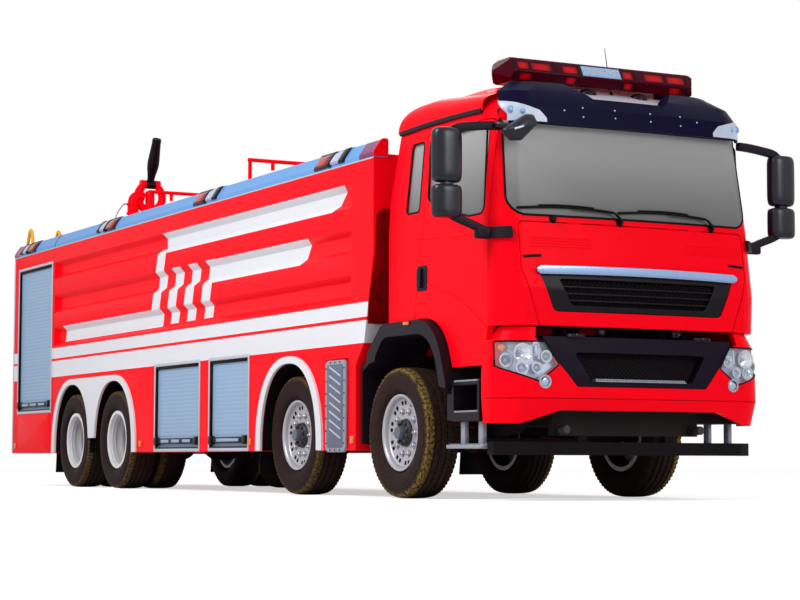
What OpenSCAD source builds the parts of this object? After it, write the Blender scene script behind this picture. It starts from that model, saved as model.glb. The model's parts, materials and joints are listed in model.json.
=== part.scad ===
// Foam fire truck on a four-axle chassis: hollow forward-control cab, ribbed tank body, roof monitor.
// Millimetres. +X is forward, +Y is left, +Z is up. The origin is on the ground, at the middle of the
// whole vehicle. Lengths called "ahead" are measured forward from the first axle.

/* [Chassis] */
// First axle to second axle
axle_1_2 = 1950; // [1800:10:2200]
// Second axle to third axle
axle_2_3 = 4470; // [4400:10:5200]
// Third axle to fourth axle
axle_3_4 = 1360; // [1320:10:1500]
// First axle to the front of the bumper
front_overhang = 1710; // [1650:5:1800]
// Fourth axle to the rear wall of the body
rear_overhang = 2270; // [1900:10:2500]
// Outer faces of the two frame rails
frame_w = 860; // [800:10:900]
// Height of a frame rail
rail_h = 290; // [250:5:320]
// Width of a rail's flange
rail_flange = 85; // [70:1:100]
// Thickness of a rail's steel
rail_t = 16; // [10:1:20]
// Top of the frame above the ground
frame_top = 1005; // [990:5:1030]
// Height of the longitudinal bearers between frame and body
bearer_h = 175; // [172:1:200]
// Rear end of the rails ahead of the body's rear wall
rail_rear_in = 120; // [80:5:200]
// Width of a cross member
member_w = 80; // [60:2:100]
// Height of a cross member
member_h = 124; // [100:2:160]
// Thickness of the front beam
beam_t = 60; // [40:1:70]
// Front beam beyond the rails, on each side
beam_side = 220; // [180:5:260]
// Front beam below the rails
beam_drop = 230; // [200:5:260]
// Tow sockets from the middle
tow_y = 600; // [540:5:615]
// Tow sockets below the rails
tow_drop = 185; // [150:5:195]
// Radius of a tow socket
tow_r = 22; // [18:1:28]

/* [Axles and engine] */
// Height of a front axle's beam
axle_beam_h = 110; // [90:1:130]
// Thickness of a front axle's beam
axle_beam_t = 90; // [70:1:110]
// Drop of that beam between its ends
axle_drop = 90; // [60:1:110]
// Width of the leaf springs
spring_w = 90; // [70:1:100]
// Half length of a front spring
spring_half = 790; // [700:10:850]
// Thickness of one spring leaf
leaf_t = 22; // [14:1:26]
// Length of a spring hanger
hanger_l = 60; // [40:1:80]
// Height of a spring hanger
hanger_h = 80; // [75:1:110]
// Radius of the rear axle tubes
axle_tube_r = 85; // [65:1:95]
// Radius of the rear axles' gear bowls
bowl_r = 215; // [180:1:230]
// Width of those bowls
bowl_w = 240; // [200:5:260]
// Radius of the drive shafts
shaft_r = 55; // [40:1:65]
// Front of the engine ahead of the first axle
engine_ahead = 950; // [900:10:1000]
// Length of the engine with its gearbox
engine_l = 1370; // [1200:10:1500]
// Underside of the engine above the axles
engine_rise = 60; // [40:5:100]
// Front of the radiator ahead of the first axle
radiator_ahead = 1180; // [1150:5:1220]
// Thickness of the radiator
radiator_t = 120; // [80:2:140]

/* [Wheels] */
// Tyre diameter
tyre_d = 1036; // [1000:2:1050]
// Tyre width
tyre_w = 315; // [290:1:325]
// Width of the tread
tread_w = 250; // [220:1:270]
// Radius at the tyre's bead
bead_r = 286; // [270:1:290]
// Width between the rim's flanges
rim_w = 221; // [200:1:230]
// Height of a rim flange above the bead seat
flange_h = 19; // [12:1:24]
// Thickness of the rim barrel
rim_t = 13; // [8:1:16]
// Distance between the middles of the two front tyres
front_track = 2080; // [2060:5:2100]
// Distance between the middles of the outer rear tyres
rear_track = 2176; // [2150:2:2180]
// Distance between the middles of two twin tyres
twin_gap = 345; // [340:1:360]
// Radius of the wheel spindles
spindle_r = 45; // [35:1:55]
// Running clearance of a wheel on its spindle and of a kingpin
run_gap = 0.3; // [0.2:0.1:0.6]
// Kingpin axis inboard of the tyre's middle
kingpin_in = 20; // [10:1:30]
// Radius of a kingpin
kingpin_r = 24; // [18:1:30]
// Hand holes in a wheel disc
hand_holes = 10; // [6:1:12]

/* [Cab] */
// Cab width over the door skins
cab_w = 2320; // [2260:10:2360]
// Front of the cab ahead of the first axle
cab_ahead = 1692; // [1670:1:1700]
// Back of the cab behind the first axle
cab_behind = 200; // [150:5:210]
// Thickness of the cab's walls and doors
cab_wall = 60; // [45:1:70]
// Radius of the front corners in plan
cab_corner_r = 230; // [180:5:260]
// Radius of the crowned front in plan
front_crown = 10000; // [6000:500:14000]
// Lower edge of the front panel
panel_z = 1285; // [1275:1:1320]
// Foremost height of the front panel
nose_z = 1560; // [1500:10:1620]
// Lower edge of the windscreen
sill_z = 2090; // [2060:5:2120]
// Height where the back wall begins to lean forward
lean_z = 2350; // [2300:10:2400]
// Rain gutter
gutter_z = 2905; // [2890:5:2930]
// Shoulder of the roof above the gutter
shoulder_rise = 155; // [135:5:175]
// Flat top of the roof above the shoulder
roof_rise = 80; // [60:5:100]
// Top face of the cab floor
floor_z = 1440; // [1430:5:1460]
// Thickness of the cab floor
floor_t = 42; // [30:1:44]
// Front line of the doors ahead of the first axle
hinge_ahead = 1395; // [1380:5:1405]
// Cut-back of a door's lower front corner
door_bevel = 75; // [60:5:90]
// Rear edge of a door at its foot ahead of the first axle
door_rear = 250; // [230:5:280]
// Gap round doors and lids
door_gap = 6; // [5:0.5:9]
// Lower edge of the doors
door_low_z = 1000; // [980:5:1030]
// Upper edge of the doors
door_top_z = 2830; // [2810:5:2840]
// Thickness of the window glass
glass_t = 8; // [5:1:10]
// Depth of the glass below the cab's skin
glass_in = 16; // [8:1:24]
// Clearance between glass and its frame
glass_gap = 0.3; // [0.2:0.1:0.6]
// Half width of the windscreen
screen_half = 1045; // [1020:5:1050]
// Pivot of the right-hand wiper from the middle
wiper_right = -150; // [-250:10:-50]
// Pivot of the left-hand wiper from the middle
wiper_left = 700; // [600:10:800]
// Length of a wiper blade
wiper_l = 800; // [700:10:820]
// Half width of the front lid
flap_half = 1000; // [980:5:1010]
// Half width of the lid's foot
flap_foot = 860; // [800:5:900]
// Height where the lid begins to narrow
flap_knee_z = 1700; // [1690:5:1760]
// Half width of the grille's upper edge
grille_half = 870; // [820:5:890]
// Half width of the grille's lower edge
grille_foot = 745; // [700:5:760]
// Upper edge of the grille
grille_top_z = 1690; // [1660:5:1695]
// Lower edge of the grille
grille_low_z = 1389; // [1370:1:1410]
// Slats of the grille
grille_slats = 4; // [3:1:6]
// Middle of a seat from the middle of the cab
seat_y = 560; // [500:5:600]
// Width of a seat
seat_w = 500; // [440:5:540]
// Length of a seat's cushion
seat_l = 420; // [380:5:460]
// Height of a seat's cushion above the floor
seat_h = 380; // [340:5:420]
// Height of a seat's back above the floor
seat_back_h = 980; // [900:5:1020]
// Radius of the steering wheel
wheel_r = 215; // [200:1:240]

/* [Front fenders] */
// Front end of a fender ahead of the first axle
fender_front = 890; // [870:5:895]
// Rear end of a fender ahead of the first axle
fender_rear = -440; // [-450:5:-420]
// Top of a fender
fender_top_z = 1385; // [1370:1:1390]
// Depth of a fender from its outer edge inwards
fender_in = 460; // [400:5:480]
// Thickness of a fender's edge
fender_t = 110; // [80:2:120]
// Thickness of the mud guard behind it
guard_t = 34; // [24:1:40]

/* [Mirrors and light bar] */
// Middle of the mirrors ahead of the first axle
mirror_ahead = 1420; // [1415:1:1440]
// Middle of the mirrors from the middle of the cab
mirror_y = 1490; // [1460:5:1540]
// Width of a mirror head
mirror_w = 216; // [200:2:250]
// Thickness of a mirror head
mirror_t = 130; // [100:2:150]
// Height of the main mirror head
mirror_h = 420; // [400:5:460]
// Height of the wide-angle head below it
wide_h = 245; // [220:5:260]
// Gap between the two heads
mirror_gap = 10; // [6:1:20]
// Thickness of the mirror arms
mirror_arm_t = 65; // [50:1:70]
// Middle of the light bar ahead of the first axle
bar_ahead = 1040; // [1000:5:1060]
// Half length of the light bar
bar_half = 926; // [880:2:960]
// Depth of the light bar
bar_d = 330; // [280:5:350]
// Height of the light bar
bar_h = 185; // [150:5:200]
// Light bar above the roof
bar_rise = 36; // [30:1:60]
// Taper of the light bar's ends in plan
bar_taper = 116; // [80:2:140]

/* [Bumper] */
// Bumper beyond the doors, on each side
bumper_out = 20; // [10:1:40]
// Lowest edge of the bumper at its corners
bumper_low_z = 572; // [550:2:600]
// Lower edge of the bumper at its middle
bumper_mid_z = 668; // [640:2:700]
// Crease round the bumper
crease_z = 753; // [730:1:780]
// Upper edge of the headlamps
lamp_top_z = 1170; // [1150:5:1190]
// Inner tip of the headlamps
lamp_mid_z = 1001; // [980:1:1020]
// Lower edge of the headlamps
lamp_low_z = 873; // [860:1:890]
// Inner tip of the headlamps from the middle
lamp_in = 716; // [690:2:740]
// Lower edge of the lower grille
mouth_z = 839; // [820:1:850]
// Half width of the lower grille's foot
mouth_half = 573; // [540:1:600]
// Fog lamps from the middle
fog_y = 838; // [820:1:860]
// Radius of the fog lamps
fog_r = 50; // [35:1:55]
// Thickness of the bumper
bumper_t = 55; // [40:1:70]
// Seams between trim pieces that touch
seam = 0.4; // [0.2:0.1:0.8]

/* [Tank body] */
// Body width
body_w = 2500; // [2490:5:2520]
// Thickness of the side lockers
locker_t = 300; // [250:10:320]
// Lower edge of the skirts
skirt_z = 380; // [370:5:420]
// Upper edge of the side panels
side_top_z = 2750; // [2720:5:2780]
// Height of the roof edge above the side panels
edge_h = 150; // [120:5:170]
// Width of the roof edge
edge_w = 130; // [120:5:180]
// Front wall of the body behind the first axle
body_behind = 300; // [290:5:320]
// Foot of the front wall behind the first axle
body_foot = 612; // [608:1:640]
// Depth of the long flutes in the sides
flute_d = 55; // [30:1:70]
// Height of a flute's sloping edge
flute_slope = 48; // [30:1:60]
// Half width of a wheel arch at the skirt
arch_half = 590; // [580:5:600]
// Second axle's arch ahead of that axle
arch_lead = 30; // [0:5:35]
// Lower edge of the post between the rear arches
post_z = 540; // [500:5:600]
// Top of the wheel arches
arch_top_z = 1140; // [1120:5:1150]
// Squareness of the wheel arches, 2 being an ellipse
arch_power = 2.3; // [2.2:0.1:3]
// Depth of the shutters behind the side panels
shutter_in = 22; // [10:1:30]
// Thickness of the shutters
shutter_t = 30; // [20:1:40]
// Pitch of the shutter slats
slat_pitch = 40; // [30:1:60]
// Thickness of the tread panels in the side
vent_t = 20; // [14:1:24]

/* [Roof] */
// Monitor's pedestal ahead of the first axle
monitor_ahead = -8754; // [-8900:10:-8400]
// Height of the monitor's elevation axis
monitor_z = 3590; // [3520:5:3620]
// Length of the monitor's barrel from that axis
barrel_l = 568; // [500:2:700]
// Radius of the monitor's pipes
monitor_pipe_r = 48; // [40:1:55]
// Elevation of the barrel as it is stored
barrel_rest_deg = 67.5; // [40:0.5:85]
// Height of the roof rails above the deck
rail_rise = 540; // [400:10:600]
// Radius of the roof rails' tubes
rail_r = 20; // [15:1:25]
// Distance of the ladder's rear face from the rear wall
ladder_out = 120; // [100:5:160]
// Radius of the ladder's tubes
ladder_r = 20; // [15:1:25]
// Outer rail of the ladder in from the roof edge
ladder_in = 30; // [25:1:50]
// Distance between the ladder's rails
ladder_w = 350; // [330:5:400]
// Hand rails of the ladder above the roof deck
ladder_rise = 320; // [280:10:400]
// Distance between its rungs
rung_gap = 300; // [260:5:320]

/* [Hidden] */
$fn = 48;
axle_z = tyre_d / 2;
overall_l = front_overhang + axle_1_2 + axle_2_3 + axle_3_4 + rear_overhang + ladder_out;
front_axle_x = overall_l / 2 - front_overhang;
// Axles, measured from the first
a2 = -axle_1_2;
a3 = a2 - axle_2_3;
a4 = a3 - axle_3_4;
bogie_x = (a3 + a4) / 2;
body_rear = a4 - rear_overhang;
frame_bottom = frame_top - rail_h;
deck_z = side_top_z + 30;
body_floor_z = frame_top + bearer_h;
front_y = front_track / 2;
kingpin_y = front_y - kingpin_in;
twin_y = (rear_track - twin_gap) / 2;
spring_y = frame_w / 2 - rail_flange / 2;
cab_half = cab_w / 2;
bumper_half = cab_half + bumper_out;
shoulder_z = gutter_z + shoulder_rise;
roof_z = shoulder_z + roof_rise;
// Half width at the gutter, and the inner face of the cab's side walls there
gutter_half = cab_half - 40;
inner_half = gutter_half - cab_wall;
hinge_y = cab_half;
fender_y = body_w / 2 - 10;
side_bottom_z = fender_top_z - 15;
// Side windows: upper and lower edges
window_top = door_top_z - 40;
quarter_low = sill_z + 150;
window_low = sill_z + 35;
// Windscreen and front lid; the sill lies behind the foremost point of the front
sill_back = 77;
flap_top_z = sill_z - 40;
screen_top_z = gutter_z - 85;
flap_leaf_x = cab_ahead - sill_back - cab_wall + 22;
floor_front = hinge_ahead + 5;
bulkhead_t = 30;
hinge_heights = [1480, 1950];

// Cab sections from the step wells up: [height, front, back, half width]
cab_sections = [
  [door_low_z, cab_ahead - 25, -cab_behind, cab_half],
  [panel_z, cab_ahead - 17, -cab_behind, cab_half],
  [nose_z, cab_ahead, -cab_behind, cab_half],
  [sill_z, cab_ahead - sill_back, -cab_behind, cab_half],
  [lean_z, cab_ahead - 118, -cab_behind, cab_half - 13],
  [gutter_z, cab_ahead - 205, -cab_behind + 140, gutter_half],
  [shoulder_z, cab_ahead - 360, -cab_behind + 220, gutter_half - 120],
  [roof_z, cab_ahead - 560, -cab_behind + 380, gutter_half - 240]
];
// Bumper sections: [height, front, half width]
bumper_sections = [
  [bumper_low_z, front_overhang - 50, bumper_half - 15],
  [crease_z, front_overhang, bumper_half],
  [lamp_top_z - 250, front_overhang - 2, bumper_half],
  [lamp_top_z, front_overhang - 25, bumper_half - 12],
  [panel_z - 10, front_overhang - 55, bumper_half - 60]
];
// Visor sections: [height, front, half width]
visor_sections = [
  [screen_top_z - 40, cab_ahead - 95, gutter_half + 6],
  [gutter_z + 20, cab_ahead - 110, gutter_half + 4],
  [shoulder_z - 15, cab_ahead - 190, gutter_half - 40],
  [roof_z + 5, cab_ahead - 330, gutter_half - 170]
];
// Rear edge of the visor at its foot, and how far it leans back above the gutter
visor_behind = cab_ahead - 202;
visor_lean = 240;
visor_dip_z = shoulder_z - 48;

// Long flutes in each side: [lower edge, upper edge]
flutes = [[2377, 2575], [1985, 2197], [1605, 1819]];
flute_front = -710;
flute_rear = -8490;
// Shutters in each side: [rear end, front end, lower edge, upper edge]
shutters_side = [
  [-9830, -8590, 876, 2566],
  [-5185, -4020, 413, 1235],
  [-3740, -2830, 413, 1235]
];
// Roof-edge lamp clusters, measured from the first axle
lamp_places = [-9472, -6699, -3850, -1084];
lamp_l = 520;
// Red roof rails, measured from the first axle
rail_places = [-7400, -4570];
rail_half = 500;
vent_rear = -1175;
vent_front = -755;
vent_low_z = 400;
vent_top_z = 1135;
// Lower face of the upper mirror arms
arm_z = gutter_z - 165;
// Back of the headlamps, front face of the front beam, height of its tow sockets
lamp_back = front_overhang - 235;
beam_front = hinge_ahead + 70;
tow_z = frame_bottom - tow_drop;
// Outer face of a front wheel disc from the tyre's middle, depth of a hub behind that face
disc_out = 105;
hub_back = 25;
// Monitor: loops of pipe, trunnion, half width of the barrel's hub, top of the pedestal
loop_r = 155;
trunnion_r = 52;
hub_half = 60;
turret_z = monitor_z - 2 * loop_r - monitor_pipe_r - 12;

// Points along the rounded corner at b between a and c, with radius r
function corner_arc(a, b, c, r, n) =
  let (u = (a - b) / norm(a - b), v = (c - b) / norm(c - b))
  let (half = acos(u * v) / 2, o = b + (u + v) / norm(u + v) * r / sin(half))
  let (p = b + u * r / tan(half) - o, q = b + v * r / tan(half) - o)
  let (start = atan2(p[1], p[0]), turn = atan2(q[1], q[0]) - start)
  let (sweep = turn > 180 ? turn - 360 : turn < -180 ? turn + 360 : turn)
  [for (i = [0:n]) o + r * [cos(start + sweep * i / n), sin(start + sweep * i / n)]];

// Outline whose corners are given as [x, y, radius]
function rounded(c, n = 6) =
  [for (i = [0:len(c) - 1])
    let (a = c[(i + len(c) - 1) % len(c)], b = c[i], d = c[(i + 1) % len(c)])
    each b[2] == 0 ? [[b[0], b[1]]] : corner_arc([a[0], a[1]], [b[0], b[1]], [d[0], d[1]], b[2], n)];

// Plan of a rounded nose: crowned front, two round corners, square back
function nose_plan(front, back, half, r, n = 8) =
  let (yc = half - r, xc = front - yc * yc / (2 * front_crown) - r)
  concat([[back, -half]],
    [for (i = [0:n]) [xc + r * cos(90 * i / n - 90), -yc + r * sin(90 * i / n - 90)]],
    [for (i = [1:n - 1]) let (y = yc * (2 * i / n - 1)) [front - y * y / (2 * front_crown), y]],
    [for (i = [0:n]) [xc + r * cos(90 * i / n), yc + r * sin(90 * i / n)]],
    [[back, half]]);

// Solid through a stack of plans that have the same number of points
module loft(heights, plans) {
  n = len(plans[0]);
  last = len(plans) - 1;
  pts = [for (k = [0:last]) each [for (p = plans[k]) [p[0], p[1], heights[k]]]];
  sides = [for (k = [0:last - 1]) each [for (i = [0:n - 1]) let (j = (i + 1) % n)
    each [[k * n + i, (k + 1) * n + j, k * n + j], [k * n + i, (k + 1) * n + i, (k + 1) * n + j]]]];
  caps = [[for (i = [0:n - 1]) i], [for (i = [0:n - 1]) last * n + n - 1 - i]];
  polyhedron(pts, concat(sides, caps));
}

// Cab outline moved inwards by inset
module cab_solid(inset = 0) {
  z = [for (s = cab_sections) s[0]];
  top = len(z) - 1;
  loft([for (k = [0:top]) k == 0 ? z[k] - 20 - inset : k == top ? z[k] - inset : z[k]],
    [for (s = cab_sections) nose_plan(s[1] - inset, s[2] + inset, s[3] - inset, cab_corner_r - inset)]);
}

module bumper_solid(inset = 0) {
  last = len(bumper_sections) - 1;
  ends = [for (k = [0:last]) k == 0 ? -inset : k == last ? inset : 0];
  loft([for (k = [0:last]) bumper_sections[k][0] + ends[k]],
    [for (s = bumper_sections) nose_plan(s[1] - inset, hinge_ahead - 200, s[2] - inset, 250 - inset)]);
}

module visor_solid(inset = 0) {
  back = visor_behind - visor_lean - 20;
  loft([for (s = visor_sections) s[0]],
    [for (s = visor_sections) nose_plan(s[1] - inset, back, s[2] - inset, 260 - inset)]);
}

module cab_shell() {
  difference() {
    cab_solid();
    cab_solid(cab_wall);
  }
}

module from_axle() {
  translate([front_axle_x, 0, 0]) children();
}

module both_sides() {
  children();
  mirror([0, 1, 0]) children();
}

// Extrudes an outline of X and Z from y0 to y1
module across(y0, y1) {
  translate([0, y1, 0]) rotate([90, 0, 0]) linear_extrude(y1 - y0) children();
}

// Extrudes an outline of Y and Z from x0 to x1
module along(x0, x1) {
  translate([x0, 0, 0]) rotate([90, 0, 90]) linear_extrude(x1 - x0) children();
}

// Box from its lowest corner to its highest corner
module block(lo, hi) {
  translate(lo) cube(hi - lo);
}

module rod_y(r, y0, y1) {
  translate([0, y1, 0]) rotate([90, 0, 0]) cylinder(r = r, h = y1 - y0);
}

module frame() {
  outer = frame_w / 2;
  rear = body_rear + rail_rear_in;
  front = beam_front - beam_t;
  member_z = frame_bottom + rail_t + 20;
  // Cross members end inside the rails' webs
  member_end = outer - rail_t / 2;
  // Cross members, spread along the frame but not through the engine
  bays = 10;
  engine_bay = 9;
  mount_l = 80;
  color("dimgray") from_axle() {
    both_sides() {
      along(rear, front) polygon([
        [outer - rail_flange, frame_bottom], [outer, frame_bottom], [outer, frame_top],
        [outer - rail_flange, frame_top], [outer - rail_flange, frame_top - rail_t],
        [outer - rail_t, frame_top - rail_t], [outer - rail_t, frame_bottom + rail_t],
        [outer - rail_flange, frame_bottom + rail_t]]);
      block([rear - 60, outer - rail_flange, frame_top], [-body_foot - 60, outer, body_floor_z]);
    }
    for (i = [0:bays])
      if (i != engine_bay)
        let (x = rear + (front - rear - member_w) * i / bays)
          block([x, -member_end, member_z], [x + member_w, member_end, member_z + member_h]);
    // Cab mounts
    both_sides() for (x = [-cab_behind + 20, hinge_ahead - 100])
      block([x, outer - rail_flange + rail_t, frame_top], [x + mount_l, outer, floor_z - floor_t]);
    // Front beam with the two tow sockets
    difference() {
      block([front, -outer - beam_side, frame_bottom - beam_drop],
        [beam_front, outer + beam_side, frame_bottom + 40]);
      both_sides() translate([front - 1, tow_y, tow_z]) rotate([0, 90, 0])
        cylinder(r = tow_r, h = beam_t + 2);
    }
  }
}

// Pack of curved leaf springs along X: one stepped outline, each leaf longer than the one below it
module leaf_pack(half_l, low_z, rise, leaves) {
  ends = [for (k = [0:leaves - 1]) half_l * (1 - 0.16 * (leaves - 1 - k))];
  lower = [for (k = [0:leaves - 1], i = [0:3])
    let (from = k == 0 ? 0 : ends[k - 1], x = from + (ends[k] - from) * i / 3)
    [x, low_z + leaf_t * k + rise * pow(x / half_l, 2)]];
  upper = [for (i = [8:-1:-8]) let (x = half_l * i / 8) [x, low_z + leaf_t * leaves + rise * pow(i / 8, 2)]];
  mirrored = [for (i = [len(lower) - 1:-1:1]) [-lower[i][0], lower[i][1]]];
  across(spring_y - spring_w / 2, spring_y + spring_w / 2) polygon(concat(lower, upper, mirrored));
}

module front_axle() {
  h = axle_beam_h / 2;
  low = axle_z - axle_drop;
  leaves = 3;
  eye_x = spring_half - hanger_l / 2;
  // End, knee and spring seat of the dropped beam
  end_y = kingpin_y;
  knee_y = kingpin_y - 130;
  seat_y = spring_y + spring_w;
  rise = frame_bottom - hanger_h + 10 - (low + h + leaves * leaf_t);
  difference() {
    union() {
      along(-axle_beam_t / 2, axle_beam_t / 2) polygon([
        [-end_y, axle_z - h], [-end_y, axle_z + h], [-knee_y, axle_z + h], [-seat_y, low + h],
        [seat_y, low + h], [knee_y, axle_z + h], [end_y, axle_z + h], [end_y, axle_z - h],
        [knee_y, axle_z - h], [seat_y, low - h], [-seat_y, low - h], [-knee_y, axle_z - h]]);
      both_sides() translate([0, kingpin_y, axle_z - h]) cylinder(r = kingpin_r + 28, h = axle_beam_h);
      both_sides() leaf_pack(spring_half, low + h, rise, leaves);
      // Hangers between the spring eyes and the rails
      both_sides() for (x = [-eye_x, eye_x])
        block([x - hanger_l / 2, spring_y - spring_w / 2, frame_bottom - hanger_h],
          [x + hanger_l / 2, spring_y + spring_w / 2, frame_bottom]);
    }
    both_sides() translate([0, kingpin_y, axle_z - axle_beam_h])
      cylinder(r = kingpin_r + run_gap, h = 2 * axle_beam_h);
  }
}

module front_axles() {
  color("dimgray") from_axle() for (x = [0, a2]) translate([x, 0, 0]) front_axle();
}

module rear_axles() {
  tube_end = twin_y - tyre_w - 70;
  hub_end = twin_y + 20;
  trunnion_z = frame_bottom - 120;
  trunnion_half = 110;
  seat_half = 70;
  seat_z = axle_z + axle_tube_r;
  leaves = 2;
  pack_z = trunnion_z - leaves * leaf_t;
  shaft_z = axle_z + 60;
  color("dimgray") from_axle() {
    for (x = [a3, a4]) translate([x, 0, axle_z]) {
      rod_y(axle_tube_r, -tube_end, tube_end);
      rod_y(spindle_r, -hub_end, hub_end);
      both_sides() block([-seat_half, spring_y - spring_w / 2, 0],
        [seat_half, spring_y + spring_w / 2, axle_tube_r + 20]);
      translate([-bowl_w / 2, 0, 0]) rotate([0, 90, 0]) cylinder(r = bowl_r, h = bowl_w);
    }
    // Bogie springs rest on both axles and hang on a middle trunnion
    both_sides() {
      translate([bogie_x, 0, 0]) leaf_pack(axle_3_4 / 2 + 60, pack_z, seat_z - pack_z, leaves);
      block([bogie_x - trunnion_half, spring_y - spring_w / 2, trunnion_z],
        [bogie_x + trunnion_half, spring_y + spring_w / 2, frame_bottom]);
    }
    // Drive shafts
    translate([a4 + bowl_w / 2, 0, shaft_z]) rotate([0, 90, 0]) cylinder(r = shaft_r, h = axle_3_4 - bowl_w);
    translate([a3 + bowl_w / 2, 0, shaft_z]) rotate([0, 90, 0])
      cylinder(r = shaft_r, h = axle_2_3 - 2 * bowl_w);
  }
}

module engine() {
  half = frame_w / 2 - rail_flange - 8;
  mount_low = frame_bottom + rail_t + 30;
  mount_l = 90;
  color("slategray") from_axle() {
    block([engine_ahead - engine_l, -half, axle_z + engine_rise],
      [engine_ahead, half, floor_z - floor_t - 130]);
    block([radiator_ahead - radiator_t, -half, axle_z + 2 * engine_rise],
      [radiator_ahead, half, panel_z - 30]);
    // Mounts of engine and radiator in the rails
    both_sides() for (x = [engine_ahead - engine_l / 2, radiator_ahead - radiator_t + 10])
      block([x, half - 10, mount_low], [x + mount_l, frame_w / 2 - rail_t, mount_low + mount_l]);
  }
}

// Door outline, grown by grow: [x, z, corner radius]
function door_outline(grow) = rounded([
  [door_rear - grow, panel_z, 0], [door_rear - grow, panel_z + 195, 60],
  [door_rear + 150 - grow, sill_z + 110, 200],
  [door_rear + 150 - grow, door_top_z + grow, 40], [hinge_ahead + grow, door_top_z + grow, 60],
  [hinge_ahead + grow, panel_z, 0], [hinge_ahead - door_bevel + grow, door_low_z - grow, 0],
  [door_rear - grow, door_low_z - grow, 0]]);

// Outer edge of a fender, grown by grow, ending flat on its lower line: [x, z, corner radius]
function fender_edge(grow) = rounded([
  [fender_rear - grow, fender_top_z - 345, 0], [fender_rear - grow, fender_top_z - 235, 100],
  [fender_rear + 260 - grow / 2, fender_top_z + grow, 200],
  [fender_front - 190 + grow / 2, fender_top_z + grow, 420],
  [fender_front + grow, fender_top_z - 505, 60], [fender_front + grow, fender_top_z - 545, 0]], 8);

module fender_zone(grow = 0) {
  polygon(concat(fender_edge(grow), [[fender_front + grow, axle_z / 2], [fender_rear - grow, axle_z / 2]]));
}

// Window outlines, shrunk by s: [x or y, z, corner radius]
function quarter_window(s) = rounded([
  [door_rear - 165 + s, quarter_low + s, 40], [door_rear - 100 + s, window_top - s, 40],
  [door_rear + 100 - s, window_top - s, 30], [door_rear + 60 - s, quarter_low + s, 40]]);
function door_window(s) = rounded([
  [door_rear + 195 + s, window_low + 205 + s, 30], [door_rear + 195 + s, window_top - s, 40],
  [hinge_ahead - 60 - s, window_top - s, 60], [hinge_ahead - 60 - s, window_low + s, 60],
  [hinge_ahead - 290 - s, window_low + s, 120], [door_rear + 350 + s, window_low + 105 + s, 150]]);
function screen(s) = rounded([
  [-screen_half + s, sill_z + 12 + s, 260], [-screen_half + 30 + s, screen_top_z - s, 60],
  [screen_half - 30 - s, screen_top_z - s, 60], [screen_half - s, sill_z + 12 + s, 260]], 10);
// Lid in the front, grown by grow, and the grille in it, shrunk by s: [y, z, corner radius]
function flap_outline(grow) = rounded([
  [-flap_half - grow, flap_top_z + grow, 40], [flap_half + grow, flap_top_z + grow, 40],
  [flap_half + grow, flap_knee_z, 0], [flap_foot + grow, panel_z - grow, 30],
  [-flap_foot - grow, panel_z - grow, 30],
  [-flap_half - grow, flap_knee_z, 0]]);
function grille_outline(s) = rounded([
  [-grille_half + s, grille_top_z - s, 20], [grille_half - s, grille_top_z - s, 20],
  [grille_foot - s, grille_low_z + s, 60], [-grille_foot + s, grille_low_z + s, 60]]);

module cab_floor() {
  color("darkred") from_axle() {
    block([-cab_behind + cab_wall, -inner_half + 2, floor_z - floor_t],
      [floor_front, inner_half - 2, floor_z]);
    // Bulkhead behind the front lid
    block([floor_front - bulkhead_t, -inner_half + 2, floor_z], [floor_front, inner_half - 2, sill_z - 130]);
  }
}

module cab_back() {
  color("red") from_axle() intersection() {
    cab_shell();
    block([-cab_behind - 1, -inner_half, floor_z - floor_t], [-cab_behind + 300, inner_half, gutter_z]);
  }
}

module cab_sides() {
  color("red") from_axle() both_sides() difference() {
    intersection() {
      cab_shell();
      block([-cab_behind - 1, inner_half, side_bottom_z], [hinge_ahead + door_gap, cab_half + 1, gutter_z]);
    }
    across(0, body_w) polygon(door_outline(door_gap));
    across(0, body_w) polygon(quarter_window(0));
    across(0, body_w) fender_zone(door_gap);
  }
}

module cab_front() {
  color("red") from_axle() difference() {
    intersection() {
      cab_shell();
      block([hinge_ahead + door_gap, -cab_half, panel_z], [cab_ahead + 1, cab_half, gutter_z]);
    }
    along(hinge_ahead, cab_ahead + 10) polygon(screen(0));
    along(hinge_ahead + 60, cab_ahead + 10) polygon(flap_outline(door_gap));
  }
  // Hinge leaves of the doors and of the front lid
  color("red") from_axle() {
    both_sides() for (z = hinge_heights)
      block([hinge_ahead + run_gap, cab_half - 50, z], [hinge_ahead + door_gap + 4, cab_half - 18, z + 90]);
    both_sides() block([flap_leaf_x, 480, flap_top_z + run_gap],
      [flap_leaf_x + 28, 600, flap_top_z + door_gap + 4]);
  }
}

module cab_roof() {
  color("red") from_axle() intersection() {
    cab_shell();
    block([-cab_behind, -cab_half, gutter_z], [cab_ahead, cab_half, roof_z + 1]);
  }
}

// Thin curved skin at the depth of the window glass
module glass_skin() {
  difference() {
    cab_solid(glass_in);
    cab_solid(glass_in + glass_t);
  }
}

module cab_glass() {
  color("lightslategray") from_axle() intersection() {
    glass_skin();
    union() {
      along(hinge_ahead + 60, cab_ahead) polygon(screen(glass_gap));
      both_sides() across(inner_half, cab_half) polygon(quarter_window(glass_gap));
    }
  }
}

module door_panel() {
  from_axle() difference() {
    intersection() {
      cab_shell();
      across(inner_half, cab_half + 1) polygon(door_outline(0));
    }
    across(0, body_w) polygon(door_window(0));
    across(0, body_w) fender_zone(2 * door_gap);
  }
}

module door_pane() {
  from_axle() intersection() {
    glass_skin();
    across(inner_half, cab_half) polygon(door_window(glass_gap));
  }
}

module door_left() {
  color("red") door_panel();
}

module door_right() {
  color("red") mirror([0, 1, 0]) door_panel();
}

module door_glass_left() {
  color("lightslategray") door_pane();
}

module door_glass_right() {
  color("lightslategray") mirror([0, 1, 0]) door_pane();
}

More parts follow.
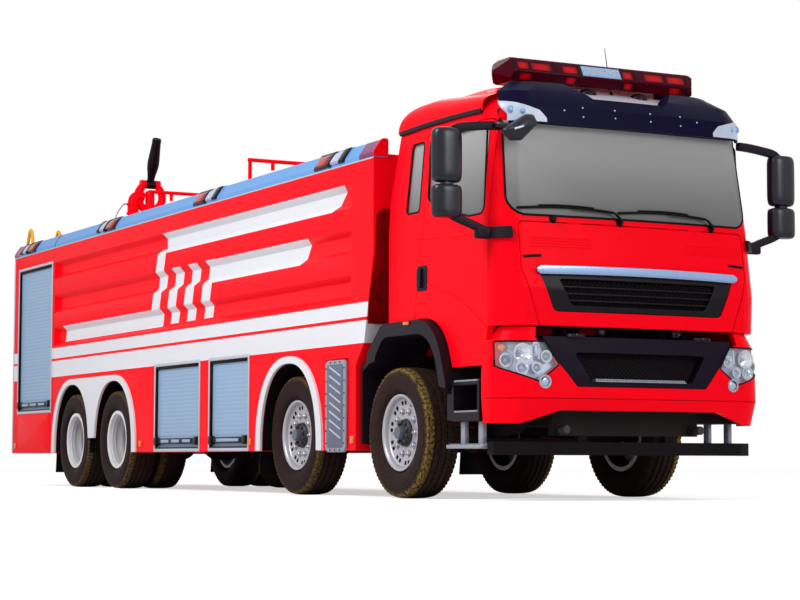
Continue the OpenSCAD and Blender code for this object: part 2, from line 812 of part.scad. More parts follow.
module front_flap() {
  color("red") from_axle() difference() {
    intersection() {
      cab_shell();
      along(hinge_ahead + 60, cab_ahead + 1) polygon(flap_outline(0));
    }
    along(hinge_ahead, cab_ahead + 10) polygon(grille_outline(0));
  }
}

module grille() {
  border = 36;
  side = 105;
  pitch = (grille_top_z - grille_low_z - 2 * border) / grille_slats;
  opening = pitch - 18;
  color("black") from_axle() difference() {
    intersection() {
      difference() {
        cab_solid(8);
        cab_solid(cab_wall - 5);
      }
      along(hinge_ahead + 60, cab_ahead) polygon(grille_outline(seam));
    }
    // Openings between the slats
    for (i = [0:grille_slats - 1]) let (z = grille_low_z + border + pitch * i)
      along(hinge_ahead, cab_ahead + 10) polygon([
        [-grille_foot + side, z], [grille_foot - side, z], [grille_foot - side + 20, z + opening],
        [-grille_foot + side - 20, z + opening]]);
  }
}

module cab_interior() {
  seat_rear = 200;
  back_t = 120;
  back_foot = floor_z + 60;
  dash_rear = floor_front - 340;
  column_l = 190;
  wheel_tube_r = 16;
  color("dimgray") from_axle() {
    both_sides() {
      block([seat_rear, seat_y - seat_w / 2, floor_z],
        [seat_rear + seat_l, seat_y + seat_w / 2, floor_z + seat_h]);
      // Leaning back rest
      across(seat_y - seat_w / 2 + 10, seat_y + seat_w / 2 - 10) polygon(rounded([
        [seat_rear - back_t, back_foot, 20], [-30, floor_z + seat_back_h - 20, 40],
        [back_t - 30, floor_z + seat_back_h, 40], [seat_rear + 15, back_foot, 0]]));
    }
    // Dashboard against the bulkhead, with the steering column and wheel
    block([dash_rear, -inner_half + 8, floor_z + 260],
      [floor_front - bulkhead_t, inner_half - 8, sill_z - 40]);
    translate([dash_rear + 5, seat_y, floor_z + 530]) rotate([0, -62, 0]) {
      cylinder(r = 35, h = column_l);
      translate([0, 0, column_l]) rotate_extrude() translate([wheel_r, 0]) circle(r = wheel_tube_r);
      translate([0, 0, column_l - 10]) cylinder(r = 60, h = 20);
      for (a = [0, 120, 240]) rotate([0, 0, a])
        block([50, -14, column_l - 6], [wheel_r - 10, 14, column_l + 6]);
    }
  }
}

module sun_visor() {
  foot = screen_top_z - 60;
  top = roof_z + 10;
  color("black") from_axle() difference() {
    intersection() {
      visor_solid();
      // Rear edge, upright below the gutter and leaning back above it
      across(-cab_half, cab_half) polygon([
        [visor_behind, foot], [visor_behind, gutter_z - 55], [visor_behind - visor_lean, top],
        [cab_ahead, top],
        [cab_ahead, foot]]);
    }
    cab_solid(-seam);
    // Dip in the middle of the upper edge
    along(0, cab_ahead) polygon([[-480, top + 1], [-310, visor_dip_z], [340, visor_dip_z], [510, top + 1]]);
    // Brow over the windscreen
    along(cab_ahead - 240, cab_ahead) polygon([
      [-screen_half + 25, foot], [-screen_half + 45, foot + 35], [screen_half - 45, foot + 35],
      [screen_half - 25, foot]]);
    both_sides() along(visor_behind - visor_lean, cab_ahead) polygon(visor_lamp(0));
  }
}

// Lamp panel in the visor's corner: [y, z, corner radius]
function visor_lamp(s) = rounded([
  [770 + s, screen_top_z + 18 + s, 12], [830 + s, screen_top_z + 85 - s, 40],
  [1150 - s, screen_top_z + 150 - s, 0],
  [1150 - s, screen_top_z + 18 + s, 0]]);

module light_bar() {
  low = roof_z + bar_rise;
  belt = low + 75;
  top = low + bar_h;
  front = bar_ahead + bar_d / 2;
  rear = bar_ahead - bar_d / 2;
  end = bar_half - bar_taper;
  foot_l = 120;
  color("red") from_axle() {
    intersection() {
      // Side view, front view and plan of the hood
      across(-bar_half, bar_half) polygon(rounded([
        [rear + 40, low, 10], [front - 40, low, 10], [front, belt, 20], [front - 60, top, 40],
        [rear + 60, top, 40],
        [rear, belt, 20]]));
      along(rear, front) polygon([
        [-end, low], [end, low], [bar_half, belt], [end, top], [-end, top], [-bar_half, belt]]);
      linear_extrude_between(low, top) polygon(rounded([
        [rear, -end, 20], [bar_ahead, -bar_half, 60], [front, -end, 20], [front, end, 20],
        [bar_ahead, bar_half, 60],
        [rear, end, 20]]));
    }
    both_sides() block([bar_ahead - foot_l / 2, 600, roof_z], [bar_ahead + foot_l / 2, 660, low + 10]);
  }
}

// The two mirror heads and their arms on the left side
module mirror_set() {
  half = mirror_w / 2;
  back = -70;
  head_top = arm_z - 5;
  head_low = head_top - mirror_h;
  wide_top = head_low - mirror_gap;
  arm_rear = mirror_ahead - 10;
  arm_front = arm_rear + mirror_arm_t;
  translate([mirror_ahead, mirror_y, 0]) {
    along(back, back + mirror_t) polygon(rounded([
      [5 - half, head_low, 40], [-half, head_top, 50], [half, head_top, 50], [half - 5, head_low, 40]]));
    along(back, back + mirror_t) polygon(rounded([
      [10 - half, wide_top - wide_h, 70], [5 - half, wide_top, 30], [half - 5, wide_top, 30],
      [half - 10, wide_top - wide_h, 70]]));
    block([-15, -20, wide_top - 5], [15, 20, head_low + 5]);
  }
  // Upper arm from the roof corner, with its drop to the head
  block([arm_rear, gutter_half - 60, arm_z], [arm_front, mirror_y - 40, arm_z + 55]);
  block([arm_rear, mirror_y - 100, arm_z - 10], [arm_front, mirror_y - 40, arm_z + 55]);
  // Lower arm from the belt line
  along(arm_rear, arm_front) polygon([
    [cab_half - 70, sill_z - 135], [cab_half - 70, sill_z - 75], [cab_half + 40, sill_z - 60],
    [mirror_y - 100, sill_z + 10], [mirror_y, sill_z + 10], [mirror_y - 60, sill_z - 28],
    [cab_half + 50, sill_z - 100], [cab_half + 50, sill_z - 135]]);
}

// Kerb mirror on the right-hand corner, on an arm from the upper mirror arm: [y, z, corner radius]
module kerb_mirror() {
  rear = cab_ahead - 132;
  t = 105;
  arm_y = cab_half - 40;
  pod_z = gutter_z - 110;
  along(rear, rear + t) polygon(rounded([
    [-arm_y - 55, pod_z - 95, 20], [-arm_y + 35, pod_z - 163, 30], [-arm_y + 120, pod_z - 155, 30],
    [-arm_y + 260, pod_z - 20, 30], [-arm_y + 220, pod_z + 47, 30], [-arm_y + 155, pod_z + 43, 30]]));
  across(-arm_y - 25, -arm_y + 15) polygon([
    [mirror_ahead, arm_z + 10], [mirror_ahead, arm_z + 45], [mirror_ahead + 70, arm_z + 45],
    [rear + 20, pod_z - 55], [rear + 20, pod_z - 90], [mirror_ahead + 60, arm_z + 10]]);
}

module mirrors() {
  color("black") from_axle() difference() {
    union() {
      both_sides() mirror_set();
      kerb_mirror();
    }
    cab_solid(-seam / 2);
  }
}

module wipers() {
  blade = 60;
  base = cab_ahead - sill_back;
  color("black") from_axle() difference() {
    union() for (y = [wiper_right, wiper_left]) {
      block([base - 33, y - 30, sill_z - 28], [base + 27, y + 30, sill_z + 30]);
      // Arm and blade in one outline
      along(base - 17, base + 15) polygon([
        [y + 12, sill_z + 20], [y - blade, sill_z + 82], [y - blade - wiper_l / 2, sill_z + 96],
        [y - blade - wiper_l, sill_z + 72], [y - blade - wiper_l, sill_z + 52], [y - blade, sill_z + 52],
        [y - 14, sill_z + 4]]);
    }
    cab_solid(-seam / 2);
  }
}

// Headlamp in the bumper's corner, shrunk by s: [y, z, corner radius]
function headlamp(s) = rounded([
  [lamp_in + s, lamp_mid_z + s, 15], [lamp_in + 109 + s, lamp_top_z - s, 25],
  [bumper_half + 1, lamp_top_z - s, 0],
  [bumper_half + 1, lamp_mid_z - 16 + s, 0], [lamp_in + 169 + s, lamp_low_z + s, 25]]);
function lower_grille_outline(s) = rounded([
  [-lamp_in - 124 + s, lamp_top_z + 40 - s, 0], [lamp_in + 124 - s, lamp_top_z + 40 - s, 0],
  [lamp_in + 106 - s, lamp_top_z - 5, 0], [lamp_in - 4 - s, lamp_mid_z, 0], [mouth_half - s, mouth_z + s, 30],
  [-mouth_half + s, mouth_z + s, 30], [-lamp_in + 4 + s, lamp_mid_z, 0],
  [-lamp_in - 106 + s, lamp_top_z - 5, 0]]);

module bumper() {
  color("red") from_axle() bumper_skin();
  // Stays on the front beam
  color("red") from_axle() both_sides()
    block([beam_front, tow_y - 120, bumper_mid_z + 10],
      [front_overhang - bumper_t + 12, tow_y - 60, crease_z - 10]);
}

module bumper_skin() {
  high_x = hinge_ahead + 2 * door_gap;
  low_x = high_x - door_bevel;
  side = bumper_half + 1;
  foot = bumper_half - 180;
  raised = bumper_half - 480;
  ear_in = lamp_in + 164;
  ear_out = bumper_half - 100;
  difference() {
    bumper_solid();
    bumper_solid(bumper_t);
    // Rear edge beside the doors
    across(-side, side) polygon([
      [0, 0], [low_x, 0], [low_x, door_low_z], [high_x, panel_z], [high_x, panel_z + 10], [0, panel_z + 10]]);
    // Raised middle of the lower edge
    along(0, front_overhang + 1) polygon([
      [-foot - 10, bumper_low_z - 10], [-foot, bumper_low_z], [-raised, bumper_mid_z], [raised, bumper_mid_z],
      [foot, bumper_low_z], [foot + 10, bumper_low_z - 10]]);
    // Ears over the lamps stay, the middle and the outer corners go
    along(0, front_overhang + 1) polygon([
      [-ear_in, panel_z], [-ear_in - 20, lamp_top_z + 20], [-mouth_half, lamp_low_z + 20],
      [mouth_half, lamp_low_z + 20],
      [ear_in + 20, lamp_top_z + 20], [ear_in, panel_z]]);
    both_sides() along(0, front_overhang + 1) polygon([
      [ear_out, panel_z], [ear_out + 50, lamp_top_z + 10], [side, lamp_top_z + 10], [side, panel_z]]);
    along(0, front_overhang + 1) polygon(lower_grille_outline(0));
    both_sides() along(lamp_back, front_overhang + 1) polygon(headlamp(0));
    both_sides() translate([0, fog_y, lamp_low_z]) rotate([0, 90, 0])
      cylinder(r = fog_r, h = front_overhang + 1);
  }
}

module lower_grille() {
  recess = 80;
  low = mouth_z + 41;
  top = lamp_top_z - 80;
  rail = (low + top) / 2;
  color("black") from_axle() difference() {
    intersection() {
      bumper_solid(4);
      along(front_overhang - 150, front_overhang) polygon(lower_grille_outline(seam));
    }
    along(front_overhang - recess, front_overhang) polygon(rounded([
      [-mouth_half, top, 20], [mouth_half, top, 20], [mouth_half - 130, low, 20],
      [130 - mouth_half, low, 20]]));
    // Two air slots through the back of the recess
    for (z = [low + 25, rail + 15])
      along(0, front_overhang) polygon([
        [90 - mouth_half, z], [mouth_half - 90, z], [mouth_half - 55, z + 70], [55 - mouth_half, z + 70]]);
  }
}

module front_lamps() {
  color("white") from_axle() {
    // Headlamps
    both_sides() intersection() {
      difference() {
        bumper_solid(3);
        bumper_solid(95);
      }
      along(lamp_back + seam, front_overhang) polygon(headlamp(seam));
    }
    // Fog lamps
    both_sides() intersection() {
      difference() {
        bumper_solid(2);
        bumper_solid(bumper_t);
      }
      translate([lamp_back, fog_y, lamp_low_z]) rotate([0, 90, 0])
        cylinder(r = fog_r - seam, h = front_overhang - lamp_back);
    }
    // Corner lamps in the visor
    both_sides() intersection() {
      difference() {
        visor_solid(2);
        cab_solid(-seam);
      }
      along(visor_behind + seam, cab_ahead) polygon(visor_lamp(seam));
    }
  }
}

module underrun_bars() {
  front = beam_front + 35;
  half = cab_half - 14;
  stay_w = 80;
  low = 340;
  high = 437;
  rear = body_rear + 20;
  rear_half = body_w / 2 - locker_t - 10;
  rear_low = 480;
  rear_h = 120;
  knee_z = rear_low + rear_h + 60;
  color("black") from_axle() {
    linear_extrude_between(low, high) polygon([
      [front, -half + 110], [front, half - 110], [front - 50, half], [front - 140, half],
      [front - 80, half - 130],
      [front - 80, -half + 130], [front - 140, -half], [front - 50, -half]]);
    both_sides() block([beam_front - beam_t + 5, frame_w / 2 - stay_w, high],
      [front - 30, frame_w / 2, frame_bottom - beam_drop]);
    // Rear bar on two cranked arms under the frame
    block([rear, -rear_half, rear_low], [rear + 100, rear_half, rear_low + rear_h]);
    both_sides() across(frame_w / 2 - rail_flange, frame_w / 2) polygon([
      [rear + 10, rear_low + rear_h], [rear + 90, rear_low + rear_h], [rear + 90, knee_z],
      [rear + 300, knee_z],
      [rear + 300, frame_bottom], [body_rear + rail_rear_in, frame_bottom], [rear + 10, knee_z + 10]]);
  }
}

module linear_extrude_between(z0, z1) {
  translate([0, 0, z0]) linear_extrude(z1 - z0) children();
}

module fenders() {
  guard_front = -body_foot + 56;
  low_z = fender_top_z - 385;
  under = fender_top_z - fender_t;
  lip_front = fender_front - 105;
  lip_rear = fender_rear + 140;
  color("black") from_axle() both_sides() {
    across(fender_y - fender_in, fender_y) difference() {
      polygon(fender_edge(0));
      polygon(concat(rounded([
        [lip_rear, low_z, 0], [lip_rear + 10, low_z + 130, 100], [lip_rear + 150, under, 150],
        [lip_front - 135, under, 330], [lip_front, low_z - 120, 60], [lip_front, low_z - 200, 0]], 8),
        [[lip_front, axle_z / 2], [lip_rear, axle_z / 2]]));
      polygon([[fender_rear - 60, low_z], [fender_rear + 40, low_z + 75], [lip_rear + 50, low_z + 100],
        [lip_rear + 50, low_z]]);
    }
    // Mud guard behind the wheel
    across(fender_y - fender_in, fender_y - 25) polygon([
      [guard_front - guard_t, skirt_z + 50], [guard_front, skirt_z + 50], [guard_front, low_z + 20],
      [fender_rear + 10, low_z + 80], [fender_rear, low_z + 120], [guard_front - guard_t, low_z + 50]]);
  }
}

module cab_steps() {
  rear = fender_front;
  front = hinge_ahead - door_bevel - 2 * door_gap;
  inner = cab_half - 440;
  outer = cab_half + 25;
  low = 590;
  high = door_low_z - 110;
  well_in = 160;
  fold_z = 390;
  fold_t = 25;
  color("dimgray") from_axle() both_sides() {
    // Step box with an open well between its two treads
    difference() {
      block([rear, inner, low], [front, outer, high]);
      block([rear + 30, inner + well_in, low + 70], [front - 30, outer + 1, high - 30]);
    }
    block([rear - 90, inner, low + 10], [rear, outer - 10, high - 90]);
    // Folding step on two hangers
    for (x = [rear + 40, front - 110]) block([x, outer - 90, fold_z + fold_t], [x + 60, outer - 60, low]);
    block([rear - 80, outer - 240, fold_z], [front + 20, outer, fold_z + fold_t]);
    // Bracket to the frame
    block([rear + 30, frame_w / 2, frame_bottom + 30], [rear + 120, inner, frame_bottom + 110]);
  }
}

// Side outline of the tank body
module body_outline(low) {
  polygon([[body_rear, low], [-body_foot, low], [-body_foot, arch_top_z - 60],
    [-body_foot + 142, arch_top_z + 100],
    [-body_behind - 90, side_top_z - 1177], [-body_behind, side_top_z - 790], [-body_behind, side_top_z],
    [body_rear, side_top_z]]);
}

module tank_body() {
  half = body_w / 2 - locker_t;
  color("firebrick") from_axle() {
    intersection() {
      across(-half, half) body_outline(skirt_z);
      block([body_rear, -half, body_floor_z], [0, half, side_top_z]);
    }
    // Roof deck over tank and lockers
    block([body_rear, edge_w - body_w / 2, side_top_z], [-body_behind, body_w / 2 - edge_w, deck_z]);
    // Rear wall below the floor
    block([body_rear, -half, frame_top - 100], [body_rear + 40, half, body_floor_z]);
  }
}

// Wheel arch about x: a squared ellipse that stands on the skirt's lower edge
module arch(x) {
  steps = 28;
  rise = arch_top_z - skirt_z;
  polygon(concat([[x + arch_half, skirt_z - 50]],
    [for (i = [0:steps]) let (a = 180 * i / steps, c = cos(a), run = pow(abs(c), 2 / arch_power))
      [x + arch_half * sign(c) * run, skirt_z + rise * pow(sin(a), 2 / arch_power)]],
    [[x - arch_half, skirt_z - 50]]));
}

module body_side() {
  y1 = body_w / 2;
  post_half = axle_3_4 / 2 - arch_half + 20;
  difference() {
    across(y1 - locker_t, y1) body_outline(skirt_z);
    across(0, y1 + 1) {
      for (x = [a2 + arch_lead, a3, a4]) arch(x);
      // Foot of the post between the rear arches
      polygon([[bogie_x - post_half, skirt_z - 50], [bogie_x - post_half, post_z],
        [bogie_x + post_half, post_z],
        [bogie_x + post_half, skirt_z - 50]]);
    }
    // Long flutes with sloping edges
    for (f = flutes) along(flute_rear, flute_front) polygon([
      [y1 + 1, f[0] - 1], [y1 - flute_d, f[0] + flute_slope], [y1 - flute_d, f[1] - flute_slope],
      [y1 + 1, f[1] + 1]]);
    // Recesses of the shutters
    for (s = shutters_side) block([s[0], y1 - shutter_in - shutter_t, s[2]], [s[1], y1 + 1, s[3]]);
    block([vent_rear, y1 - vent_t, vent_low_z], [vent_front, y1 + 1, vent_top_z]);
  }
}

module body_sides() {
  color("red") from_axle() both_sides() body_side();
}

module roof_edges() {
  y1 = body_w / 2;
  color("lightsteelblue") from_axle() both_sides() difference() {
    along(body_rear, -body_behind) polygon(rounded([
      [y1 - edge_w, side_top_z, 0], [y1, side_top_z, 0], [y1, side_top_z + 40, 20],
      [y1 - 75, side_top_z + edge_h, 40], [y1 - edge_w, side_top_z + edge_h, 20]]));
    for (x = lamp_places) block([x - lamp_l / 2, y1 - 90, side_top_z + 20],
      [x + lamp_l / 2, y1 + 1, side_top_z + edge_h - 25]);
  }
}

module shutter_plate(length, low, high) {
  n = floor((high - low) / slat_pitch);
  pitch = (high - low) / n;
  groove = 6;
  // Slats with a groove between them, drawn as one outline of depth and height
  along(0, length) polygon(concat([[-shutter_t, low], [-shutter_t, high]],
    [for (i = [n - 1:-1:0]) each [
      [0, low + pitch * (i + 0.88)], [0, low + pitch * (i + 0.12)], [-groove, low + pitch * i]]]));
}

module shutters() {
  y1 = body_w / 2;
  rear_half = 600;
  rear_low = 900;
  color("lightsteelblue") from_axle() {
    both_sides() for (s = shutters_side)
      translate([s[0] + seam, y1 - shutter_in, 0])
        shutter_plate(s[1] - s[0] - 2 * seam, s[2] + seam, s[3] - seam);
    // Rear shutter of the pump bay
    block([body_rear - 20, -rear_half, rear_low], [body_rear, rear_half, side_top_z - 250]);
  }
}

// Tread panel, shrunk by s, with corner radius r
function vent_outline(s, r) = rounded([
  [vent_rear + s, vent_low_z + s, r], [vent_rear + s, vent_top_z - s, r], [vent_front - s, vent_top_z - s, r],
  [vent_front - s, vent_low_z + s, r]]);

module vent_panels() {
  y1 = body_w / 2;
  proud = 4;
  ribs = 7;
  border = 40;
  rib_pitch = (vent_top_z - vent_low_z - 140) / ribs;
  color("silver") from_axle() both_sides() {
    difference() {
      across(y1 - vent_t, y1 + proud) polygon(vent_outline(1, 50));
      across(y1 - proud, y1 + proud + 1) polygon(vent_outline(border, 40));
    }
    for (i = [0:ribs - 1]) let (z = vent_low_z + 90 + rib_pitch * i)
      across(y1 - proud, y1 + proud) polygon([
        [vent_rear + 90, z + 70], [vent_rear + 90, z + 50], [vent_front - 90, z - 40],
        [vent_front - 90, z - 20]]);
  }
}

module body_lamps() {
  y1 = body_w / 2;
  color("darkred") from_axle() {
    both_sides() for (x = lamp_places)
      along(x - lamp_l / 2 + seam, x + lamp_l / 2 - seam) polygon([
        [y1 - 89, side_top_z + 21], [y1 - 12, side_top_z + 21], [y1 - 40, side_top_z + edge_h - 26],
        [y1 - 89, side_top_z + edge_h - 26]]);
    // Tail lamps under the rear wall
    both_sides() block([body_rear - 12, 800, 640], [body_rear, 1040, 780]);
  }
}

module roof_rails() {
  color("red") from_axle() for (x = rail_places) translate([x, 0, deck_z]) {
    both_sides() translate([0, rail_half, 0]) cylinder(r = rail_r, h = rail_rise);
    translate([0, 0, rail_rise]) rod_y(rail_r, -rail_half - rail_r, rail_half + rail_r);
    translate([0, -rail_half / 2, rail_rise - 90]) cylinder(r = rail_r, h = 90);
  }
}

module ladder() {
  out = body_rear - ladder_out + ladder_r;
  foot = 560;
  top = deck_z + ladder_rise;
  reach = 300;
  outer = edge_w + ladder_in - body_w / 2;
  rails = [outer, outer + ladder_w];
  rungs = 7;
  color("gold") from_axle() {
    for (y = rails) {
      translate([out, y, foot]) cylinder(r = ladder_r, h = top - foot);
      translate([out, y, top]) rotate([0, 90, 0]) cylinder(r = ladder_r, h = reach);
      translate([out + reach, y, deck_z]) cylinder(r = ladder_r, h = top - deck_z + ladder_r);
      for (z = [foot + 140, side_top_z - 150])
        translate([out, y, z]) rotate([0, 90, 0]) cylinder(r = 12, h = body_rear - out);
    }
    for (i = [0:rungs - 1]) translate([out, 0, foot + 100 + rung_gap * i])
      rod_y(14, rails[0], rails[1]);
  }
}

module monitor_base() {
  color("red") from_axle() translate([monitor_ahead, 0, deck_z]) {
    cylinder(r = 170, h = 24);
    cylinder(r = 85, h = turret_z - deck_z);
    translate([0, 0, turret_z - deck_z - 40]) cylinder(r = 110, h = 40);
  }
}

module monitor_turret() {
  loop_end = acos(hub_half / loop_r) - 16;
  column_r = 56;
  column_drop = 82;
  color("red") from_axle() translate([monitor_ahead, 0, 0]) {
    translate([0, 0, turret_z + run_gap]) {
      cylinder(r = 100, h = 70);
      cylinder(r = column_r, h = monitor_z - column_drop - turret_z);
    }
    both_sides() translate([0, 0, monitor_z - loop_r]) {
      // Half loop of pipe from the swivel up to the trunnion
      rotate([90, 0, 90]) rotate([0, 0, -75]) rotate_extrude(angle = 75 + loop_end)
        translate([loop_r, 0]) circle(r = monitor_pipe_r);
    }
    both_sides() difference() {
      translate([0, 0, monitor_z]) rod_y(trunnion_r, hub_half + run_gap, hub_half + 60);
      translate([0, 0, monitor_z]) rod_y(kingpin_r + run_gap, hub_half - 5, hub_half + 30);
    }
  }
}

module monitor_barrel() {
  tip_r = monitor_pipe_r + 10;
  tip_l = 120;
  color("black") from_axle() translate([monitor_ahead, 0, monitor_z]) rotate([0, -barrel_rest_deg, 0]) {
    rod_y(trunnion_r, -hub_half, hub_half);
    rod_y(kingpin_r, -hub_half - 28, hub_half + 28);
    rotate([0, 90, 0]) cylinder(r1 = monitor_pipe_r - 2, r2 = tip_r - 4, h = barrel_l - tip_l / 2);
    translate([barrel_l - tip_l, 0, 0]) rotate([0, 90, 0]) cylinder(r = tip_r, h = tip_l);
  }
}

// Knuckle about the kingpin, for the left side
module knuckle() {
  lug_t = 34;
  eye_h = 110;
  web = kingpin_r + 34;
  cylinder(r = kingpin_r, h = eye_h + 2 * lug_t, center = true);
  for (end = [-1, 1]) translate([0, 0, end * (eye_h / 2 + 1 + lug_t / 2)])
    block([-50, -40, -lug_t / 2], [50, web + 30, lug_t / 2]);
  block([-50, web, -eye_h / 2 - 2], [50, web + 30, eye_h / 2 + 2]);
  rod_y(spindle_r, web + 20, kingpin_in + disc_out + 40);
}

// Wheel disc and hub turned about Y, outer face at y = out
module wheel_disc(edge, out) {
  barrel_r = bead_r - run_gap - rim_t;
  hub_r = 165;
  face_r = 190;
  t = 16;
  difference() {
    rotate([-90, 0, 0]) rotate_extrude() polygon([
      [spindle_r + run_gap, out - hub_back], [hub_r, out - hub_back], [hub_r, out - t], [face_r, out - t],
      [barrel_r + 1, edge - t],
      [barrel_r + 1, edge], [face_r, out], [110, out], [100, out + 45], [spindle_r + run_gap, out + 45]]);
    for (i = [0:hand_holes - 1]) rotate([0, 360 * i / hand_holes, 0])
      translate([0, out - 90, (face_r + barrel_r) / 2 + 4]) rotate([-90, 0, 0]) cylinder(r = 24, h = 180);
  }
}

module rim_barrel() {
  seat_r = bead_r - run_gap;
  half = rim_w / 2 + run_gap;
  rotate([-90, 0, 0]) rotate_extrude() polygon([
    [seat_r - rim_t, -half - 14], [seat_r + flange_h, -half - 14], [seat_r + flange_h, -half],
    [seat_r, -half],
    [seat_r, half], [seat_r + flange_h, half], [seat_r + flange_h, half + 14], [seat_r - rim_t, half + 14]]);
}

module single_rim() {
  rim_barrel();
  wheel_disc(disc_out - 25, disc_out);
  rotate([-90, 0, 0]) translate([0, 0, disc_out + 45]) cylinder(r = 88, h = 40);
}

module twin_rims() {
  out = 30;
  plug_low = -120;
  plug_t = 60;
  translate([0, twin_gap / 2, 0]) rim_barrel();
  translate([0, -twin_gap / 2, 0]) rim_barrel();
  wheel_disc(out + 45, out);
  // Disc of the inner rim, joined to the outer hub
  rotate([-90, 0, 0]) rotate_extrude() polygon([
    [spindle_r + run_gap, plug_low], [bead_r - run_gap - rim_t + 1, plug_low],
    [bead_r - run_gap - rim_t + 1, plug_low + plug_t], [150, plug_low + plug_t], [150, out - hub_back],
    [spindle_r + run_gap, out - hub_back]]);
  rotate([-90, 0, 0]) translate([0, 0, out + 45]) cylinder(r = 100, h = 70);
}

module tyre_ring() {
  half = tyre_w / 2;
  rotate([-90, 0, 0]) rotate_extrude() polygon([
    [bead_r, -rim_w / 2], [bead_r + flange_h + 3, -rim_w / 2], [bead_r + 55, 12 - half],
    [bead_r + 115, -half],
    [axle_z - 45, 8 - half], [axle_z - 12, -tread_w / 2 - 12], [axle_z, -tread_w / 2], [axle_z, tread_w / 2],
    [axle_z - 12, tread_w / 2 + 12], [axle_z - 45, half - 8], [bead_r + 115, half], [bead_r + 55, half - 12],
    [bead_r + flange_h + 3, rim_w / 2], [bead_r, rim_w / 2]]);
}

module twin_tyres() {
  for (side = [-1, 1]) translate([0, side * twin_gap / 2, 0]) tyre_ring();
}

// Places a left-hand wheel piece at an axle, mirrored for the right
module at_wheel(x, y, right) {
  from_axle() mirror([0, right ? 1 : 0, 0]) translate([x, y, axle_z]) children();
}

module knuckle_1l() { color("dimgray") at_wheel(0, kingpin_y, false) knuckle(); }
module knuckle_1r() { color("dimgray") at_wheel(0, kingpin_y, true) knuckle(); }
module knuckle_2l() { color("dimgray") at_wheel(a2, kingpin_y, false) knuckle(); }
module knuckle_2r() { color("dimgray") at_wheel(a2, kingpin_y, true) knuckle(); }
module tyre_1l() { color("black") at_wheel(0, front_y, false) tyre_ring(); }
module tyre_1r() { color("black") at_wheel(0, front_y, true) tyre_ring(); }
module tyre_2l() { color("black") at_wheel(a2, front_y, false) tyre_ring(); }
module tyre_2r() { color("black") at_wheel(a2, front_y, true) tyre_ring(); }
module tyres_3l() { color("black") at_wheel(a3, twin_y, false) twin_tyres(); }
module tyres_3r() { color("black") at_wheel(a3, twin_y, true) twin_tyres(); }
module tyres_4l() { color("black") at_wheel(a4, twin_y, false) twin_tyres(); }
module tyres_4r() { color("black") at_wheel(a4, twin_y, true) twin_tyres(); }
module rim_1l() { color("silver") at_wheel(0, front_y, false) single_rim(); }
module rim_1r() { color("silver") at_wheel(0, front_y, true) single_rim(); }
module rim_2l() { color("silver") at_wheel(a2, front_y, false) single_rim(); }
module rim_2r() { color("silver") at_wheel(a2, front_y, true) single_rim(); }
module rims_3l() { color("silver") at_wheel(a3, twin_y, false) twin_rims(); }
module rims_3r() { color("silver") at_wheel(a3, twin_y, true) twin_rims(); }
module rims_4l() { color("silver") at_wheel(a4, twin_y, false) twin_rims(); }
module rims_4r() { color("silver") at_wheel(a4, twin_y, true) twin_rims(); }

frame();
front_axles();
rear_axles();
engine();
cab_floor();
cab_back();
cab_sides();
cab_front();
cab_roof();
cab_glass();
cab_interior();
sun_visor();
light_bar();
mirrors();
wipers();
bumper();
lower_grille();
front_lamps();
underrun_bars();
fenders();
cab_steps();
tank_body();
body_sides();
roof_edges();
shutters();
vent_panels();
body_lamps();
roof_rails();
ladder();
monitor_base();
monitor_turret();
monitor_barrel();
front_flap();
grille();
door_left();
door_right();
door_glass_left();
door_glass_right();
knuckle_1l();
knuckle_1r();
knuckle_2l();
knuckle_2r();
tyre_1l();
tyre_1r();
tyre_2l();
tyre_2r();
tyres_3l();
tyres_3r();
tyres_4l();
tyres_4r();
rim_1l();
rim_1r();
rim_2l();
rim_2r();
rims_3l();
rims_3r();
rims_4l();
rims_4r();
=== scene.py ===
import json
import math
import bmesh
import bpy
import numpy as np
from mathutils import Matrix, Vector

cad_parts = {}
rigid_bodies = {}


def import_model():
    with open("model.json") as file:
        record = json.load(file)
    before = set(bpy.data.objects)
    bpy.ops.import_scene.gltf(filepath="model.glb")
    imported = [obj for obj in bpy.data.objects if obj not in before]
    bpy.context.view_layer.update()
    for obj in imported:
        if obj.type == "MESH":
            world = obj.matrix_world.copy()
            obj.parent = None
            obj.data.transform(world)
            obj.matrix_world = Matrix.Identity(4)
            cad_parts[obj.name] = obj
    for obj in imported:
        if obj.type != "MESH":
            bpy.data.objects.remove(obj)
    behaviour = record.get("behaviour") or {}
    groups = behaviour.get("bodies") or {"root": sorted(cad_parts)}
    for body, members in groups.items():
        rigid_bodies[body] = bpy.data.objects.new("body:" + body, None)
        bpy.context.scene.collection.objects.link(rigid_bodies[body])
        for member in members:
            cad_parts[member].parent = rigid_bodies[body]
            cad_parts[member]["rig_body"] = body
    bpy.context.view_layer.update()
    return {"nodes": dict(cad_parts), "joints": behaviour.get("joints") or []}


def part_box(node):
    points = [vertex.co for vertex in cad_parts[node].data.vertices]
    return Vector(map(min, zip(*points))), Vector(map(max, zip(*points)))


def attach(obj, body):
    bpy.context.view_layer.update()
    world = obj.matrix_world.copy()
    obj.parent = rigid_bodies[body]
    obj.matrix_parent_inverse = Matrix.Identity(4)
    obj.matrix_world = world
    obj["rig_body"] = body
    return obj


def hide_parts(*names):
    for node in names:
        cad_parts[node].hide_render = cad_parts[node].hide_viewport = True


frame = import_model()
nodes = frame["nodes"]
joints = {j["name"]: j for j in frame["joints"]}
axleX = joints["spin_1l"]["pos_m"][0]  # lengths below are metres, X counted from the first axle
axleZ = joints["spin_1l"]["pos_m"][2]
axle2, axle3, axle4 = [joints[n]["pos_m"][0] - axleX for n in ("spin_2l", "spin_3l", "spin_4l")]
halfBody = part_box("body_sides")[1][1]
print("frame loaded:", len(nodes), "nodes")


